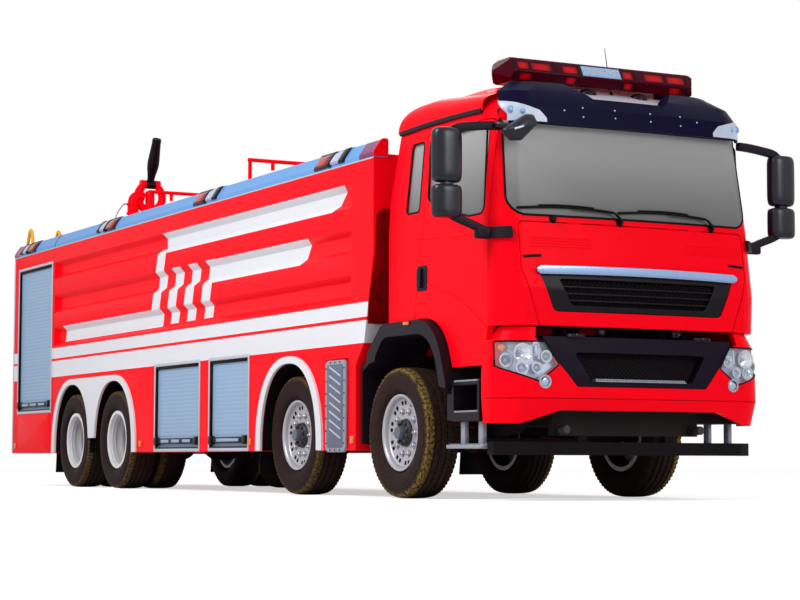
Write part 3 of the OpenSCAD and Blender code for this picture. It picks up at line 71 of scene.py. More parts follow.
# Grid faces: quads between neighbouring rows and columns, wrapped round where asked
def gridQuads(rows, cols, wrapRows, wrapCols):
    i = np.arange(rows if wrapRows else rows - 1)[:, None]
    j = np.arange(cols if wrapCols else cols - 1)[None, :]
    right, below = (j + 1) % cols, (i + 1) % rows
    return np.stack([i * cols + j, i * cols + right, below * cols + right, below * cols + j], -1).reshape(-1, 4)


# One mesh from several grids (points, wrapRows, wrapCols); meeting points are merged and faces turned outwards
def makePiece(name, surfaces, body, material, softAngle=35, tint=None, bevel=0.0):
    points, quads, tints, start = [], [], [], 0
    for k, (grid, wrapRows, wrapCols) in enumerate(surfaces):
        rows, cols = grid.shape[:2]
        points.append(grid.reshape(-1, 3))
        quads.append(gridQuads(rows, cols, wrapRows, wrapCols) + start)
        tints.append(np.zeros(rows * cols) if tint is None else np.broadcast_to(tint[k], (rows, cols)).reshape(-1))
        start += rows * cols
    points = np.concatenate(points) + np.array([axleX, 0, 0])
    mesh = bpy.data.meshes.new(name)
    mesh.from_pydata(points.tolist(), [], np.concatenate(quads).tolist())
    if tint is not None:
        mesh.attributes.new("tint", "FLOAT", "POINT").data.foreach_set("value", np.concatenate(tints).astype(np.float32))
    shell = bmesh.new()
    shell.from_mesh(mesh)
    bmesh.ops.remove_doubles(shell, verts=shell.verts, dist=2e-6)
    bmesh.ops.dissolve_degenerate(shell, dist=1e-6, edges=shell.edges)
    bmesh.ops.recalc_face_normals(shell, faces=shell.faces)
    shell.to_mesh(mesh)
    shell.free()
    return showMesh(name, mesh, body, material, softAngle, bevel)


def showMesh(name, mesh, body, material, softAngle, bevel):
    mesh.materials.clear()
    mesh.materials.append(material)
    mesh.shade_smooth()
    mesh.set_sharp_from_angle(angle=math.radians(softAngle))
    made = bpy.data.objects.new(name, mesh)
    bpy.context.scene.collection.objects.link(made)
    if bevel:
        edge = made.modifiers.new("edge", "BEVEL")
        edge.width, edge.segments, edge.limit_method, edge.angle_limit = bevel, 2, "ANGLE", math.radians(35)
        edge.harden_normals = True
        edge.use_clamp_overlap = True
    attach(made, body)
    return made


# Merged copy of a CAD node with soft shading and eased edges, which stands for the node
def skinOf(node, material, bevel=0.004, softAngle=28):
    mesh = nodes[node].data.copy()
    shell = bmesh.new()
    shell.from_mesh(mesh)
    bmesh.ops.remove_doubles(shell, verts=shell.verts, dist=3e-5)
    bmesh.ops.dissolve_limit(shell, angle_limit=math.radians(0.4), verts=shell.verts, edges=shell.edges)
    shell.to_mesh(mesh)
    shell.free()
    name = "".join(w.capitalize() if k else w for k, w in enumerate(node.split("_"))) + "Skin"
    made = showMesh(name, mesh, nodes[node]["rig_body"], material, softAngle, bevel)
    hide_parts(node)
    return made


# Corners [u, v, radius] joined into one outline, each corner an arc
def rounded(corners, steps=6):
    c = np.array(corners, float)
    out = []
    for a, b, d in zip(np.roll(c, 1, 0), c, np.roll(c, -1, 0)):
        if b[2] == 0:
            out.append(b[None, :2])
            continue
        u = (a[:2] - b[:2]) / np.linalg.norm(a[:2] - b[:2])
        v = (d[:2] - b[:2]) / np.linalg.norm(d[:2] - b[:2])
        half = math.acos(np.clip(u @ v, -1, 1)) / 2
        o = b[:2] + (u + v) / np.linalg.norm(u + v) * b[2] / math.sin(half)
        p, q = b[:2] + u * b[2] / math.tan(half) - o, b[:2] + v * b[2] / math.tan(half) - o
        first = math.atan2(p[1], p[0])
        turn = (math.atan2(q[1], q[0]) - first + math.pi) % (2 * math.pi) - math.pi
        t = first + turn * np.linspace(0, 1, steps + 1)
        out.append(o + b[2] * np.stack([np.cos(t), np.sin(t)], -1))
    return np.concatenate(out)


# Section of a small bar: half width, half height, corner radius
def barSection(a, b, r, steps=2):
    return rounded([[-a, -b, r], [a, -b, r], [a, b, r], [-a, b, r]], steps)


def circle(radius, steps=16):
    t = np.linspace(0, 2 * np.pi, steps, endpoint=False)
    return radius * np.stack([np.cos(t), np.sin(t)], -1)


# Evenly spaced points on a smooth curve through the given ones (Catmull-Rom, written with matrices)
def smoothPath(points, steps=8):
    p = np.array(points, float)
    p = np.concatenate([2 * p[:1] - p[1:2], p, 2 * p[-1:] - p[-2:-1]])
    t = np.linspace(0, 1, steps, endpoint=False)[:, None, None]
    a, b, c, d = p[None, :-3], p[None, 1:-2], p[None, 2:-1], p[None, 3:]
    curve = 0.5 * (2 * b + (c - a) * t + (2 * a - 5 * b + 4 * c - d) * t ** 2 + (3 * b - a - 3 * c + d) * t ** 3)
    return np.concatenate([curve.transpose(1, 0, 2).reshape(-1, p.shape[1]), p[-2:-1]])


# Profile (side, up) carried along a path; the ends close on their middles, a ring closes on itself
def tube(path, profile, up=(0, 0, 1), ring=False):
    path = np.array(path, float)
    along = np.roll(path, -1, 0) - np.roll(path, 1, 0) if ring else np.gradient(path, axis=0)
    along /= np.linalg.norm(along, axis=1, keepdims=True)
    side = np.cross(along, np.array(up, float))
    side /= np.linalg.norm(side, axis=1, keepdims=True)
    top = np.cross(side, along)
    profile = np.array(profile, float)
    if profile.ndim == 2:
        profile = np.broadcast_to(profile, (len(path),) + profile.shape)
    grid = path[:, None] + side[:, None] * profile[..., :1] + top[:, None] * profile[..., 1:]
    if not ring:
        first, last = grid[:1].mean(1, keepdims=True), grid[-1:].mean(1, keepdims=True)
        grid = np.concatenate([np.broadcast_to(first, grid[:1].shape), grid, np.broadcast_to(last, grid[:1].shape)])
    return grid, ring, True


# Profile (radius, height) turned about an axis through a centre
def lathe(profile, centre, axis, turns=48, ring=False):
    profile = np.array(profile, float)
    axis = np.array(axis, float) / np.linalg.norm(axis)
    side = np.cross(axis, (0, 0, 1) if abs(axis[2]) < 0.9 else (1, 0, 0))
    side /= np.linalg.norm(side)
    top = np.cross(axis, side)
    t = np.linspace(0, 2 * np.pi, turns, endpoint=False)[None, :, None]
    spoke = np.cos(t) * side + np.sin(t) * top
    return np.array(centre) + profile[:, None, :1] * spoke + profile[:, None, 1:] * axis, ring, True


# Box with round edges: the eight octants of a ball pushed out to the corners, flat ends closed on their middles
def roundBox(lo, hi, r, steps=3):
    lo, hi = np.array(lo, float), np.array(hi, float)
    r = min(r, 0.499 * (hi - lo).min())
    quarter = np.linspace(0, np.pi / 2, steps + 1)
    turn = np.concatenate([quarter + k * np.pi / 2 for k in range(4)])[None, :]
    tilt = np.concatenate([quarter - np.pi / 2, quarter])[:, None]
    signX = np.repeat([1, -1, -1, 1], steps + 1)[None, :]
    signY = np.repeat([1, 1, -1, -1], steps + 1)[None, :]
    signZ = np.repeat([-1, 1], steps + 1)[:, None]
    ball = np.stack(np.broadcast_arrays(np.cos(tilt) * np.cos(turn), np.cos(tilt) * np.sin(turn), np.sin(tilt)), -1)
    sign = np.stack(np.broadcast_arrays(signX, signY, signZ), -1)
    grid = (lo + hi) / 2 + sign * ((hi - lo) / 2 - r) + ball * r
    ends = [np.broadcast_to(g.mean(1, keepdims=True), g.shape) for g in (grid[:1], grid[-1:])]
    return np.concatenate([ends[0], grid, ends[1]]), False, True


# Plate: an outline (u, v) with thickness from w0 to w1 and edges rounded by r; place turns (u, v, w) into X, Y, Z
def plate(outline, w0, w1, r, place, steps=3):
    outline = np.array(outline, float)
    along = np.roll(outline, -1, 0) - np.roll(outline, 1, 0)
    normal = np.stack([along[:, 1], -along[:, 0]], -1)
    normal /= np.linalg.norm(normal, axis=1, keepdims=True) + 1e-12
    x, y = outline[:, 0], outline[:, 1]
    if np.sum(x * np.roll(y, -1) - y * np.roll(x, -1)) < 0:
        normal = -normal
    r = min(r, abs(w1 - w0) / 2)
    t = np.linspace(0, np.pi / 2, steps + 1)
    inset = np.concatenate([r * (1 - np.sin(t)), r * (1 - np.cos(t))])
    depth = np.concatenate([w0 + np.sign(w1 - w0) * r * (1 - np.cos(t)), w1 - np.sign(w1 - w0) * r * (1 - np.sin(t))])
    uv = outline[None] - normal[None] * inset[:, None, None]
    centre = np.broadcast_to(outline.mean(0), uv[:1].shape)
    uv = np.concatenate([centre, uv, centre])
    w = np.concatenate([[w0], depth, [w1]])[:, None] + 0 * uv[..., 0]
    return np.stack(place(uv[..., 0], uv[..., 1], w), -1), False, True


# Thin wall between a front grid and a back grid, closed round its rim
def slab(front, back):
    loop = np.concatenate([front, back[:, ::-1]], 1)
    ends = []
    for k in (0, -1):
        middle = (front[k] + back[k]) / 2
        ends.append(np.concatenate([middle, middle[::-1]])[None])
    return np.concatenate([ends[0], loop, ends[1]]), False, True


def mirrored(surfaces):
    return [(g * np.array([1, -1, 1]), a, b) for g, a, b in surfaces]


def bothSides(surfaces):
    return surfaces + mirrored(surfaces)


def onSide(u, v, w):  # plate on the right-hand side: u along X, v up, w outwards
    return u, -w, v


def onFront(u, v, w):  # plate on the front: u along Y, v up, w forwards
    return w, u, v


def moved(surface, x=0.0, y=0.0, z=0.0):
    return surface[0] + np.array([x, y, z]), surface[1], surface[2]


# Shader values: a socket that takes part in sums and products
class Wire:
    def __init__(self, tree, socket):
        self.tree, self.socket = tree, socket

    def calc(self, operation, *others):
        return Wire(self.tree, addNode(self.tree, "Math", {"operation": operation}, dict(enumerate((self,) + others))).outputs[0])

    def __add__(self, other): return self.calc("ADD", other)
    def __sub__(self, other): return self.calc("SUBTRACT", other)
    def __mul__(self, other): return self.calc("MULTIPLY", other)
    def __rsub__(self, other): return self.calc("MULTIPLY_ADD", -1.0, other)
    __radd__, __rmul__ = __add__, __mul__

    def above(self, limit): return self.calc("GREATER_THAN", limit)
    def below(self, limit): return self.calc("LESS_THAN", limit)
    def between(self, low, high): return self.above(low) * self.below(high)
    def either(self, other): return self.calc("MAXIMUM", other)
    def sway(self, low, high):  # 0 to 1 rises smoothly from low to high
        made = addNode(self.tree, "MapRange", {"interpolation_type": "SMOOTHSTEP"}, {0: self, 1: low, 2: high})
        return Wire(self.tree, made.outputs[0])


# Any node: its settings first, then the values or links of its sockets
def addNode(tree, kind, settings, inputs):
    made = tree.nodes.new("ShaderNode" + kind)
    for key, value in settings.items():
        if key == "ramp":
            ramp = made.color_ramp
            while len(ramp.elements) < len(value):
                ramp.elements.new(0.5)
            for element, (place, colour) in zip(ramp.elements, value):
                element.position, element.color = place, colour
        else:
            setattr(made, key, value)
    for key, value in inputs.items():
        if isinstance(value, Wire):
            tree.links.new(value.socket, made.inputs[key])
        else:
            made.inputs[key].default_value = value
    return made


def rgb(colour):
    return tuple(colour) + (1.0,)


def mixColour(tree, factor, a, b):
    made = addNode(tree, "Mix", {"data_type": "RGBA"}, {0: factor, 6: a, 7: b})
    return Wire(tree, made.outputs[2])


def noise(tree, place, scale, detail=3.0, rough=0.5):
    made = addNode(tree, "TexNoise", {}, {"Vector": place, "Scale": scale, "Detail": detail, "Roughness": rough})
    return Wire(tree, made.outputs["Fac"])


# A finish: base colour with a slow shade, a fine grain in roughness and bump, and dust that thins out upwards
def finish(name, colour, rough, metal=0.0, coat=0.0, shade=0.12, slow=1.5, grain=60.0, bump=0.03, dust=0.0, paintOver=None,
           alpha=1.0, specular=0.5, bumpDepth=0.002):
    material = bpy.data.materials.new(name)
    material.use_nodes = True
    tree = material.node_tree
    shader = tree.nodes["Principled BSDF"]
    place = Wire(tree, addNode(tree, "TexCoord", {}, {}).outputs["Object"])
    slowNoise, fineNoise = noise(tree, place, slow), noise(tree, place, grain, 2.0)
    dark = tuple(c * (1 - shade) for c in colour)
    base = mixColour(tree, slowNoise, rgb(dark), rgb(colour))
    if paintOver:
        base = paintOver(tree, place, base, fineNoise)
    roughness = fineNoise * 0.10 + slowNoise * 0.08 + (rough - 0.09)
    if dust:
        axes = addNode(tree, "SeparateXYZ", {}, {0: place})
        height = Wire(tree, axes.outputs[2])
        film = (1 - height.sway(0.3, 1.6)) * slowNoise * dust
        base = mixColour(tree, film, base, rgb((0.19, 0.135, 0.085)))
        roughness = roughness + film * 0.4
    tree.links.new(base.socket, shader.inputs["Base Color"])
    tree.links.new(roughness.socket, shader.inputs["Roughness"])
    shader.inputs["Metallic"].default_value = metal
    shader.inputs["Coat Weight"].default_value = coat
    shader.inputs["Coat Roughness"].default_value = 0.06
    shader.inputs["Specular IOR Level"].default_value = specular
    shader.inputs["Alpha"].default_value = alpha
    if bump:
        relief = addNode(tree, "Bump", {}, {"Strength": bump, "Distance": bumpDepth, "Height": fineNoise})
        tree.links.new(relief.outputs[0], shader.inputs["Normal"])
    return material


# Stripes of the body sides, in X from the first axle and in height
stripes = {
    "white": (0.71, 0.72, 0.77), "bands": [(1.250, 1.433), (1.461, 1.582)],
    "barTop": (2.374, 2.577, -5.03), "barMiddle": (1.982, 2.200, -3.94), "barLow": (1.645, 1.822, -8.17, -5.09),
    "lean": 0.30, "legs": [-5.28, -4.83, -4.39, -3.94], "legWide": 0.225,
}


def bodyStripes(tree, place, base, fine):
    axes = addNode(tree, "SeparateXYZ", {}, {0: place})
    x, z = Wire(tree, axes.outputs[0]) - axleX, Wire(tree, axes.outputs[2])
    mask = None
    for low, high in stripes["bands"]:
        band = z.between(low, high)
        mask = band if mask is None else mask.either(band)
    low, high, left = stripes["barTop"]
    mask = mask.either(z.between(low, high) * x.above(left) * (x - z * 1.2).below(-0.83 - 1.2 * high))
    low, high, left = stripes["barMiddle"]
    bar = z.between(low, high) * (x - z * stripes["lean"]).above(left - 0.6)
    mask = mask.either(bar * (x - z * 0.75).below(-1.55 - 0.75 * high))
    low, high, left, right = stripes["barLow"]
    mask = mask.either(z.between(low, high) * (x - z * 0.3).above(left - 0.3 * high) * (x - z * 0.3).below(right - 0.3 * high))
    for k, left in enumerate(stripes["legs"]):
        slide = x - z * stripes["lean"] + 0.6
        leg = slide.between(left, left + stripes["legWide"]) * z.between(1.66 if k else 1.80, 2.205 if k else 2.42)
        mask = mask.either(leg)
    return mixColour(tree, mask, base, rgb(stripes["white"]))


def tintOf(tree):  # the piece's own attribute, from 0 to 1
    return Wire(tree, addNode(tree, "Attribute", {"attribute_name": "tint"}, {}).outputs["Fac"])


# Painted glow: the tint attribute brightens the red towards the middle of each reflector and lens
def paintedGlowTint(tree, place, base, fine):  # bright red towards the middle of each reflector
    return mixColour(tree, tintOf(tree), base, rgb((0.52, 0.002, 0.003)))


# Painted shade: the rim paint darkens towards the bottom of a deep rim, by the piece's tint attribute
def paintedRimShade(tree, place, base, fine):  # darker towards the bottom of a deep rim
    return mixColour(tree, tintOf(tree), base, rgb((0.05, 0.04, 0.05)))


redColour, whiteColour = (0.95, 0.0010, 0.010), stripes["white"]
paint = finish("fireRedPaint", redColour, 0.36, specular=0.03, shade=0.05, grain=220, bump=0.015, dust=0.0)
bodyPaint = finish("stripedBodyPaint", redColour, 0.40, specular=0.04, shade=0.05, grain=220, bump=0.015, dust=0.01,
                   paintOver=bodyStripes)
# Painted shade: mottled near-black red for the shaded gap behind the cab
gapShade = finish("shadedOpening", (0.40, 0.0008, 0.002), 0.6, specular=0.03, shade=0.9, slow=7, grain=90, bump=0.05)
# Dark red for the body seams, and painted shade along the bumper's crease
darkRed = finish("darkRedSeam", (0.30, 0.001, 0.004), 0.5, specular=0.05, grain=220, bump=0.0)
whitePaint = finish("whiteEdgePaint", whiteColour, 0.38, specular=0.2, shade=0.05, grain=180, bump=0.02, dust=0.12)
alloy = finish("blueGreyAluminium", (0.27, 0.41, 0.60), 0.42, metal=0.1, specular=0.25, shade=0.08, slow=0.8, grain=300,
               bump=0.02, dust=0.06)
edgeBlue = finish("paleBlueRoofEdge", (0.13, 0.32, 0.66), 0.45, metal=0.05, specular=0.15, shade=0.06, slow=0.6, grain=240,
                  bump=0.02)
paleTrim = finish("paleAluminiumTrim", (0.50, 0.55, 0.64), 0.38, metal=0.3, shade=0.10, grain=240, bump=0.02, dust=0.10)
padTrim = finish("greyPadFrame", (0.28, 0.30, 0.37), 0.42, metal=0.1, specular=0.3, shade=0.12, grain=240, bump=0.05, dust=0.08)
silver = finish("silverWheelPaint", (0.46, 0.46, 0.51), 0.34, metal=0.40, shade=0.14, slow=6, grain=140, bump=0.04, dust=0.12)
# Painted light: the rear rims' silver is a brighter copy of the same paint, lifted against the shade in their deep
# dishes
brightSilver = finish("brightRimPaint", (0.80, 0.80, 0.85), 0.40, metal=0.15, shade=0.14, slow=6, grain=140, bump=0.04,
                      dust=0.12, paintOver=paintedRimShade)
hubGrey = finish("darkHubPaint", (0.030, 0.024, 0.032), 0.42, specular=0.3, shade=0.3, slow=12, grain=160, bump=0.08, dust=0.06)
capGrey = finish("blueGreyHubCap", (0.10, 0.12, 0.16), 0.34, metal=0.2, specular=0.4, shade=0.2, slow=12, grain=160, bump=0.05)
chrome = finish("brightChrome", (0.78, 0.80, 0.84), 0.16, metal=1.0, shade=0.06, grain=200, bump=0.0)
# Painted reflection: the chrome bar's blue is sky reflection painted into its colour
barChrome = finish("blueChromeBar", (0.29, 0.41, 0.65), 0.22, metal=0.9, shade=0.06, grain=200, bump=0.0)
navy = finish("navyVisorPlastic", (0.0030, 0.0016, 0.020), 0.40, specular=0.04, shade=0.25, grain=260, bump=0.04)
blackPlastic = finish("grainedBlackPlastic", (0.008, 0.004, 0.010), 0.48, specular=0.14, shade=0.30, grain=420, bump=0.15,
                      dust=0.04)
mirrorBlack = finish("blueBlackMirrorShell", (0.004, 0.005, 0.013), 0.28, specular=0.36, shade=0.20, grain=420, bump=0.08)
glossBlack = finish("glossBlackTrim", (0.0035, 0.0014, 0.0035), 0.34, specular=0.14, shade=0.2, grain=200, bump=0.02)
seal = finish("rubberSeal", (0.0030, 0.0012, 0.0028), 0.62, specular=0.10, shade=0.3, grain=300, bump=0.1)
steel = finish("darkChassisSteel", (0.007, 0.004, 0.006), 0.58, specular=0.12, shade=0.4, slow=4, grain=90, bump=0.2, dust=0.06)
galvanised = finish("galvanisedSteel", (0.36, 0.39, 0.45), 0.42, metal=0.5, shade=0.3, slow=14, grain=120, bump=0.08, dust=0.12)
yellow = finish("yellowRailPaint", (0.84, 0.46, 0.015), 0.38, specular=0.2, shade=0.12, grain=160, bump=0.03)
cloth = finish("darkSeatCloth", (0.045, 0.045, 0.050), 0.85, shade=0.3, grain=700, bump=0.4)
padGrey = finish("greyTreadPad", (0.115, 0.137, 0.20), 0.48, metal=0.1, specular=0.3, shade=0.12, grain=240, bump=0.08, dust=0.08)
hoodRed = finish("darkRedHood", (0.060, 0.0005, 0.008), 0.26, coat=0.0, specular=0.05, shade=0.25, slow=9, grain=120, bump=0.03)
# Reflector red with a painted glow towards the middles
glowRed = finish("glowingRedReflector", (0.040, 0.0006, 0.008), 0.30, specular=0.10, shade=0.10, slow=12, grain=160, bump=0.08,
                 paintOver=paintedGlowTint)
deepRed = finish("deepRedLens", (0.045, 0.0006, 0.006), 0.24, coat=0.1, specular=0.2, shade=0.2, slow=14, grain=160, bump=0.10,
                 paintOver=paintedGlowTint)
# Red lens colour with a bluish highlight painted in: the plum is partly painted highlight
plumLens = finish("plumEndLens", (0.20, 0.007, 0.12), 0.26, coat=0.05, specular=0.2, shade=0.3, slow=9, grain=120, bump=0.03)
orange = finish("orangeMarkerLens", (0.85, 0.17, 0.02), 0.26, coat=0.1, specular=0.3, shade=0.2, slow=20, grain=200, bump=0.1)
clearLens = finish("clearLampLens", (0.72, 0.78, 0.86), 0.10, shade=0.1, slow=12, grain=90, bump=0.03, alpha=0.08)
lampBowl = finish("paleLampBowl", (0.50, 0.60, 0.80), 0.26, metal=0.3, shade=0.45, slow=26, grain=160, bump=0.10)
paleLens = finish("paleLampLens", (0.46, 0.52, 0.72), 0.26, specular=0.4, shade=0.25, slow=18, grain=260, bump=0.15)
visorGrey = finish("paleVisorLamp", (0.50, 0.57, 0.70), 0.30, specular=0.4, shade=0.2, slow=9, grain=200, bump=0.05)
navyPanel = finish("navyGrillePanel", (0.007, 0.003, 0.011), 0.45, specular=0.06, shade=0.2, grain=300, bump=0.06)
blueGrid = finish("blueGridPanel", (0.22, 0.40, 0.68), 0.30, metal=0.2, shade=0.2, slow=10, grain=200, bump=0.05)


# Painted reflection: the window glass is lighter towards the roof
def paintedGlassReflection(tree, place, base, fine):  # lighter towards the roof
    axes = addNode(tree, "SeparateXYZ", {}, {0: place})
    return mixColour(tree, Wire(tree, axes.outputs[2]).sway(2.05, 2.85), rgb((0.145, 0.145, 0.148)), rgb((0.34, 0.34, 0.345)))


glass = finish("greyWindowGlass", (0.20, 0.20, 0.20), 0.22, specular=0.12, grain=8, bump=0.0, paintOver=paintedGlassReflection, alpha=0.94)


# Brown road dust on the outer shoulders only; the inner shoulders stay dark as painted shade
def rubberTint(tree, place, base, fine):  # brown road dust on the shoulders, by the piece's own attribute
    patchy = noise(tree, place, 52.0, 4.0, 0.65).sway(0.36, 0.60)
    return mixColour(tree, tintOf(tree) * patchy, base, rgb((0.23, 0.145, 0.034)))


rubber = finish("dustyTyreRubber", (0.015, 0.005, 0.008), 0.72, specular=0.12, shade=0.3, slow=5, grain=260, bump=0.2,
                paintOver=rubberTint)
print("finishes made:", len(bpy.data.materials))


# Plan curve of cab, bumper and visor: crowned front, round corners, straight sides; s runs along it from the middle
class Nose:
    def __init__(self, table, corner, crown=10.0):
        self.table, self.corner, self.crown = np.array(table, float), corner, crown

    def at(self, s, z, out=0.0):
        front = np.interp(z, self.table[:, 0], self.table[:, 1]) + out
        half = np.interp(z, self.table[:, 0], self.table[:, 2]) + out
        r = self.corner + out
        yc = half - r
        a = np.abs(s)
        bend = np.clip((a - yc) / r, 0, np.pi / 2)
        rest = np.maximum(a - yc - r * np.pi / 2, 0)
        flat = np.minimum(a, yc)
        x = front - flat ** 2 / (2 * self.crown) - r * (1 - np.cos(bend)) - rest
        return np.stack(np.broadcast_arrays(x, np.sign(s) * (flat + r * np.sin(bend)), z), -1)

    def along(self, y, z):  # the s of a point given by its Y
        half = np.interp(z, self.table[:, 0], self.table[:, 2])
        yc = half - self.corner
        a = np.abs(y)
        return np.sign(y) * np.where(a <= yc, a, yc + self.corner * np.arcsin(np.clip((a - yc) / self.corner, 0, 1)))

    def back(self, x, z):  # the s of a point given by its X, on the corner or the side
        front = np.interp(z, self.table[:, 0], self.table[:, 1])
        half = np.interp(z, self.table[:, 0], self.table[:, 2])
        yc = half - self.corner
        deep = front - yc ** 2 / (2 * self.crown) - x
        bend = np.arccos(np.clip(1 - deep / self.corner, 0, 1))
        return yc + self.corner * bend + np.maximum(deep - self.corner, 0)


cab = Nose([[0.98, 1.667, 1.16], [1.285, 1.675, 1.16], [1.56, 1.692, 1.16], [2.09, 1.615, 1.16], [2.35, 1.574, 1.147],
            [2.905, 1.487, 1.12], [3.06, 1.332, 1.0], [3.14, 1.132, 0.88]], 0.23)
bumper = Nose([[0.572, 1.66, 1.165], [0.753, 1.71, 1.18], [0.92, 1.708, 1.18], [1.17, 1.685, 1.168], [1.275, 1.655, 1.12]], 0.25)
visor = Nose([[2.78, 1.597, 1.126], [2.925, 1.582, 1.124], [3.045, 1.502, 1.08], [3.145, 1.362, 0.95]], 0.26)


# Wheels: tyre as a turned profile whose tread is cut by ring grooves and cross slots
tyre = {"turns": 216, "lugs": 72, "ringDepth": 0.012, "slotDepth": 0.010, "rings": [-0.078, -0.027, 0.027, 0.078],
        "ringHalf": 0.0055}


def tyreGrid(centreY, mirrorSign):
    wall = smoothPath([[0.287, 0.108], [0.309, 0.113], [0.322, 0.122], [0.345, 0.1445], [0.372, 0.1535], [0.402, 0.1572],
                       [0.440, 0.1550], [0.472, 0.1490], [0.497, 0.1415], [0.508, 0.1375]], 4)
    ribs = 0.0022 * (np.abs(wall[:, 0] - 0.335) < 0.004) + 0.0018 * (np.abs(wall[:, 0] - 0.452) < 0.006)
    wall = wall + np.stack([0 * ribs, ribs - 0.0018], -1)
    edges = np.sort(np.concatenate([[g + s * (tyre["ringHalf"] + d) for g in tyre["rings"] for s in (-1, 1) for d in (0, 0.0015)],
                                    [-0.127, -0.118, -0.1, 0.1, 0.118, 0.127]]).reshape(-1))
    crown = 0.5175 - 0.0085 * (edges / 0.127) ** 4
    inRing = np.min(np.abs(edges[:, None] - np.array(tyre["rings"])), 1) < tyre["ringHalf"] + 0.0004
    tread = np.stack([crown - tyre["ringDepth"] * inRing, edges], -1)
    profile = np.concatenate([wall * [1, -1], tread, wall[::-1]])
    t = np.arange(tyre["turns"]) * 2 * np.pi / tyre["turns"]
    phase = (np.arange(tyre["turns"]) * tyre["lugs"] / tyre["turns"]) % 1
    y = profile[:, 1]
    shoulder = (np.abs(y) > 0.088) & (profile[:, 0] > 0.490)
    slot = (phase < 0.30)[None, :] & shoulder[:, None]
    sipe = (((phase + 0.5) % 1) < 0.30)[None, :] & ((np.abs(np.abs(y) - 0.0525) < 0.019) & (profile[:, 0] > 0.5))[:, None]
    radius = profile[:, :1] - tyre["slotDepth"] * slot - 0.004 * sipe
    grid = np.stack([radius * np.sin(t), mirrorSign * y[:, None] + centreY + 0 * t, radius * np.cos(t) + axleZ], -1)
    # Dust on the outer shoulder only, so the inner side stays dark: real dust and painted shade
    dustAndInnerShade = np.clip((profile[:, 0] - 0.470) / 0.03, 0, 1) * np.clip((y - 0.07) / 0.04, 0.04, 1) + 0.06 * (profile[:, 0] > 0.32)
    return (grid, False, True), np.broadcast_to(dustAndInnerShade[:, None], radius.shape)


wheelNut = {"circle": 0.1725, "count": 10, "nut": 0.0185, "long": 0.024, "stud": 0.011, "studLong": 0.012, "seat": 0.0265}
# Hubs by axle kind: disc face from the wheel's middle, shell profile [radius, out from the face],
# ring of bolts [radius, out], cap [radius, out, height]
hubKinds = {
    "single": {"face": 0.0655, "shell": [[0.112, 0.001], [0.106, 0.022], [0.098, 0.030], [0.064, 0.032], [0, 0.032]],
               "bolts": (0.086, 0.030), "cap": (0.050, 0.030, 0.054)},
    "twin": {"face": 0.030, "shell": [[0.114, 0.001], [0.1025, 0.046], [0.1025, 0.1155], [0.085, 0.1175], [0, 0.1175]],
             "bolts": (0.080, 0.115), "cap": (0.056, 0.115, 0.024)},
}
# Single rim, [radius, out]: flanges, seat, bowl down to the disc, and back along the inside
rimLine = [[0.2727, -0.1248], [0.3047, -0.1248], [0.3047, -0.1108], [0.2857, -0.1108], [0.2857, 0.1108], [0.3047, 0.1108],
           [0.3050, 0.1180], [0.3030, 0.1235], [0.2980, 0.1248], [0.2900, 0.1235], [0.2800, 0.1160], [0.2745, 0.1040],
           [0.2715, 0.0880], [0.2680, 0.0790], [0.2580, 0.0735], [0.2450, 0.0705], [0.1900, 0.0650], [0.0470, 0.0650],
           [0.0470, 0.0470], [0.1900, 0.0480], [0.2480, 0.0540], [0.2640, 0.0480], [0.2690, 0.0300], [0.2690, -0.1248]]
# Near-black lining inside the single rim's bowl, a painted shade
rimInside = [[0.2680, -0.124], [0.2680, 0.026], [0.2630, 0.045], [0.2610, 0.025], [0.2650, -0.124]]
# Well of the outer twin rim, [radius, out, painted shade]: steps down the barrel, then the disc
wellLine = np.array([[0.2722, 0.297, 0], [0.268, 0.288, 0], [0.268, 0.262, 0.05], [0.261, 0.257, 0.25],
                     [0.261, 0.215, 0.10], [0.267, 0.209, 0.35], [0.267, 0.150, 0.35], [0.262, 0.144, 0.60],
                     [0.262, 0.080, 0.80], [0.190, 0.0325, 0.85], [0.112, 0.0325, 0.9], [0.112, 0.0305, 1],
                     [0.190, 0.0305, 1], [0.2722, 0.0780, 1]])
rimSlot = {"count": 20, "r": (0.222, 0.254), "half": 0.062}


# Points spread evenly on a ring of the given radius round the axle
def ringOf(radius, count, shift=0.0):
    a = 2 * np.pi * (np.arange(count) + shift) / count
    return radius * np.stack([np.sin(a), np.cos(a)], -1)


def nutSurfaces(x, face, side):
    h, n, s = wheelNut["long"], wheelNut["nut"], wheelNut["stud"]
    line = [[0, -0.004], [n * 1.3, -0.004], [n * 1.3, 0.006], [n, 0.008], [n, h - 0.004], [n * 0.8, h], [s, h],
            [s, h + wheelNut["studLong"]], [0, h + wheelNut["studLong"] + 0.003]]
    return [lathe(line, (x + dx, face, axleZ + dz), (0, side, 0), 6)
            for dx, dz in ringOf(wheelNut["circle"], wheelNut["count"], 0.5)]


# Dark slots of the single rim's disc: ring sectors that follow the dish, near-black as painted shade in the holes
def slotSurfaces(x, y, side):
    r, turn = np.meshgrid(np.linspace(*rimSlot["r"], 4), np.linspace(-rimSlot["half"], rimSlot["half"], 5), indexing="ij")
    dish = np.interp(r, [0.190, 0.245, 0.258], [0.0650, 0.0705, 0.0735])
    made = []
    for k in range(rimSlot["count"]):
        a = turn + 2 * np.pi * (k + 0.3 * (k % 2)) / rimSlot["count"]
        across, up = x + r * np.sin(a), axleZ + r * np.cos(a)
        front, back = [np.stack([across, y + side * (dish + out), up], -1) for out in (0.0012, -0.004)]
        made.append(slab(front, back))
    return made


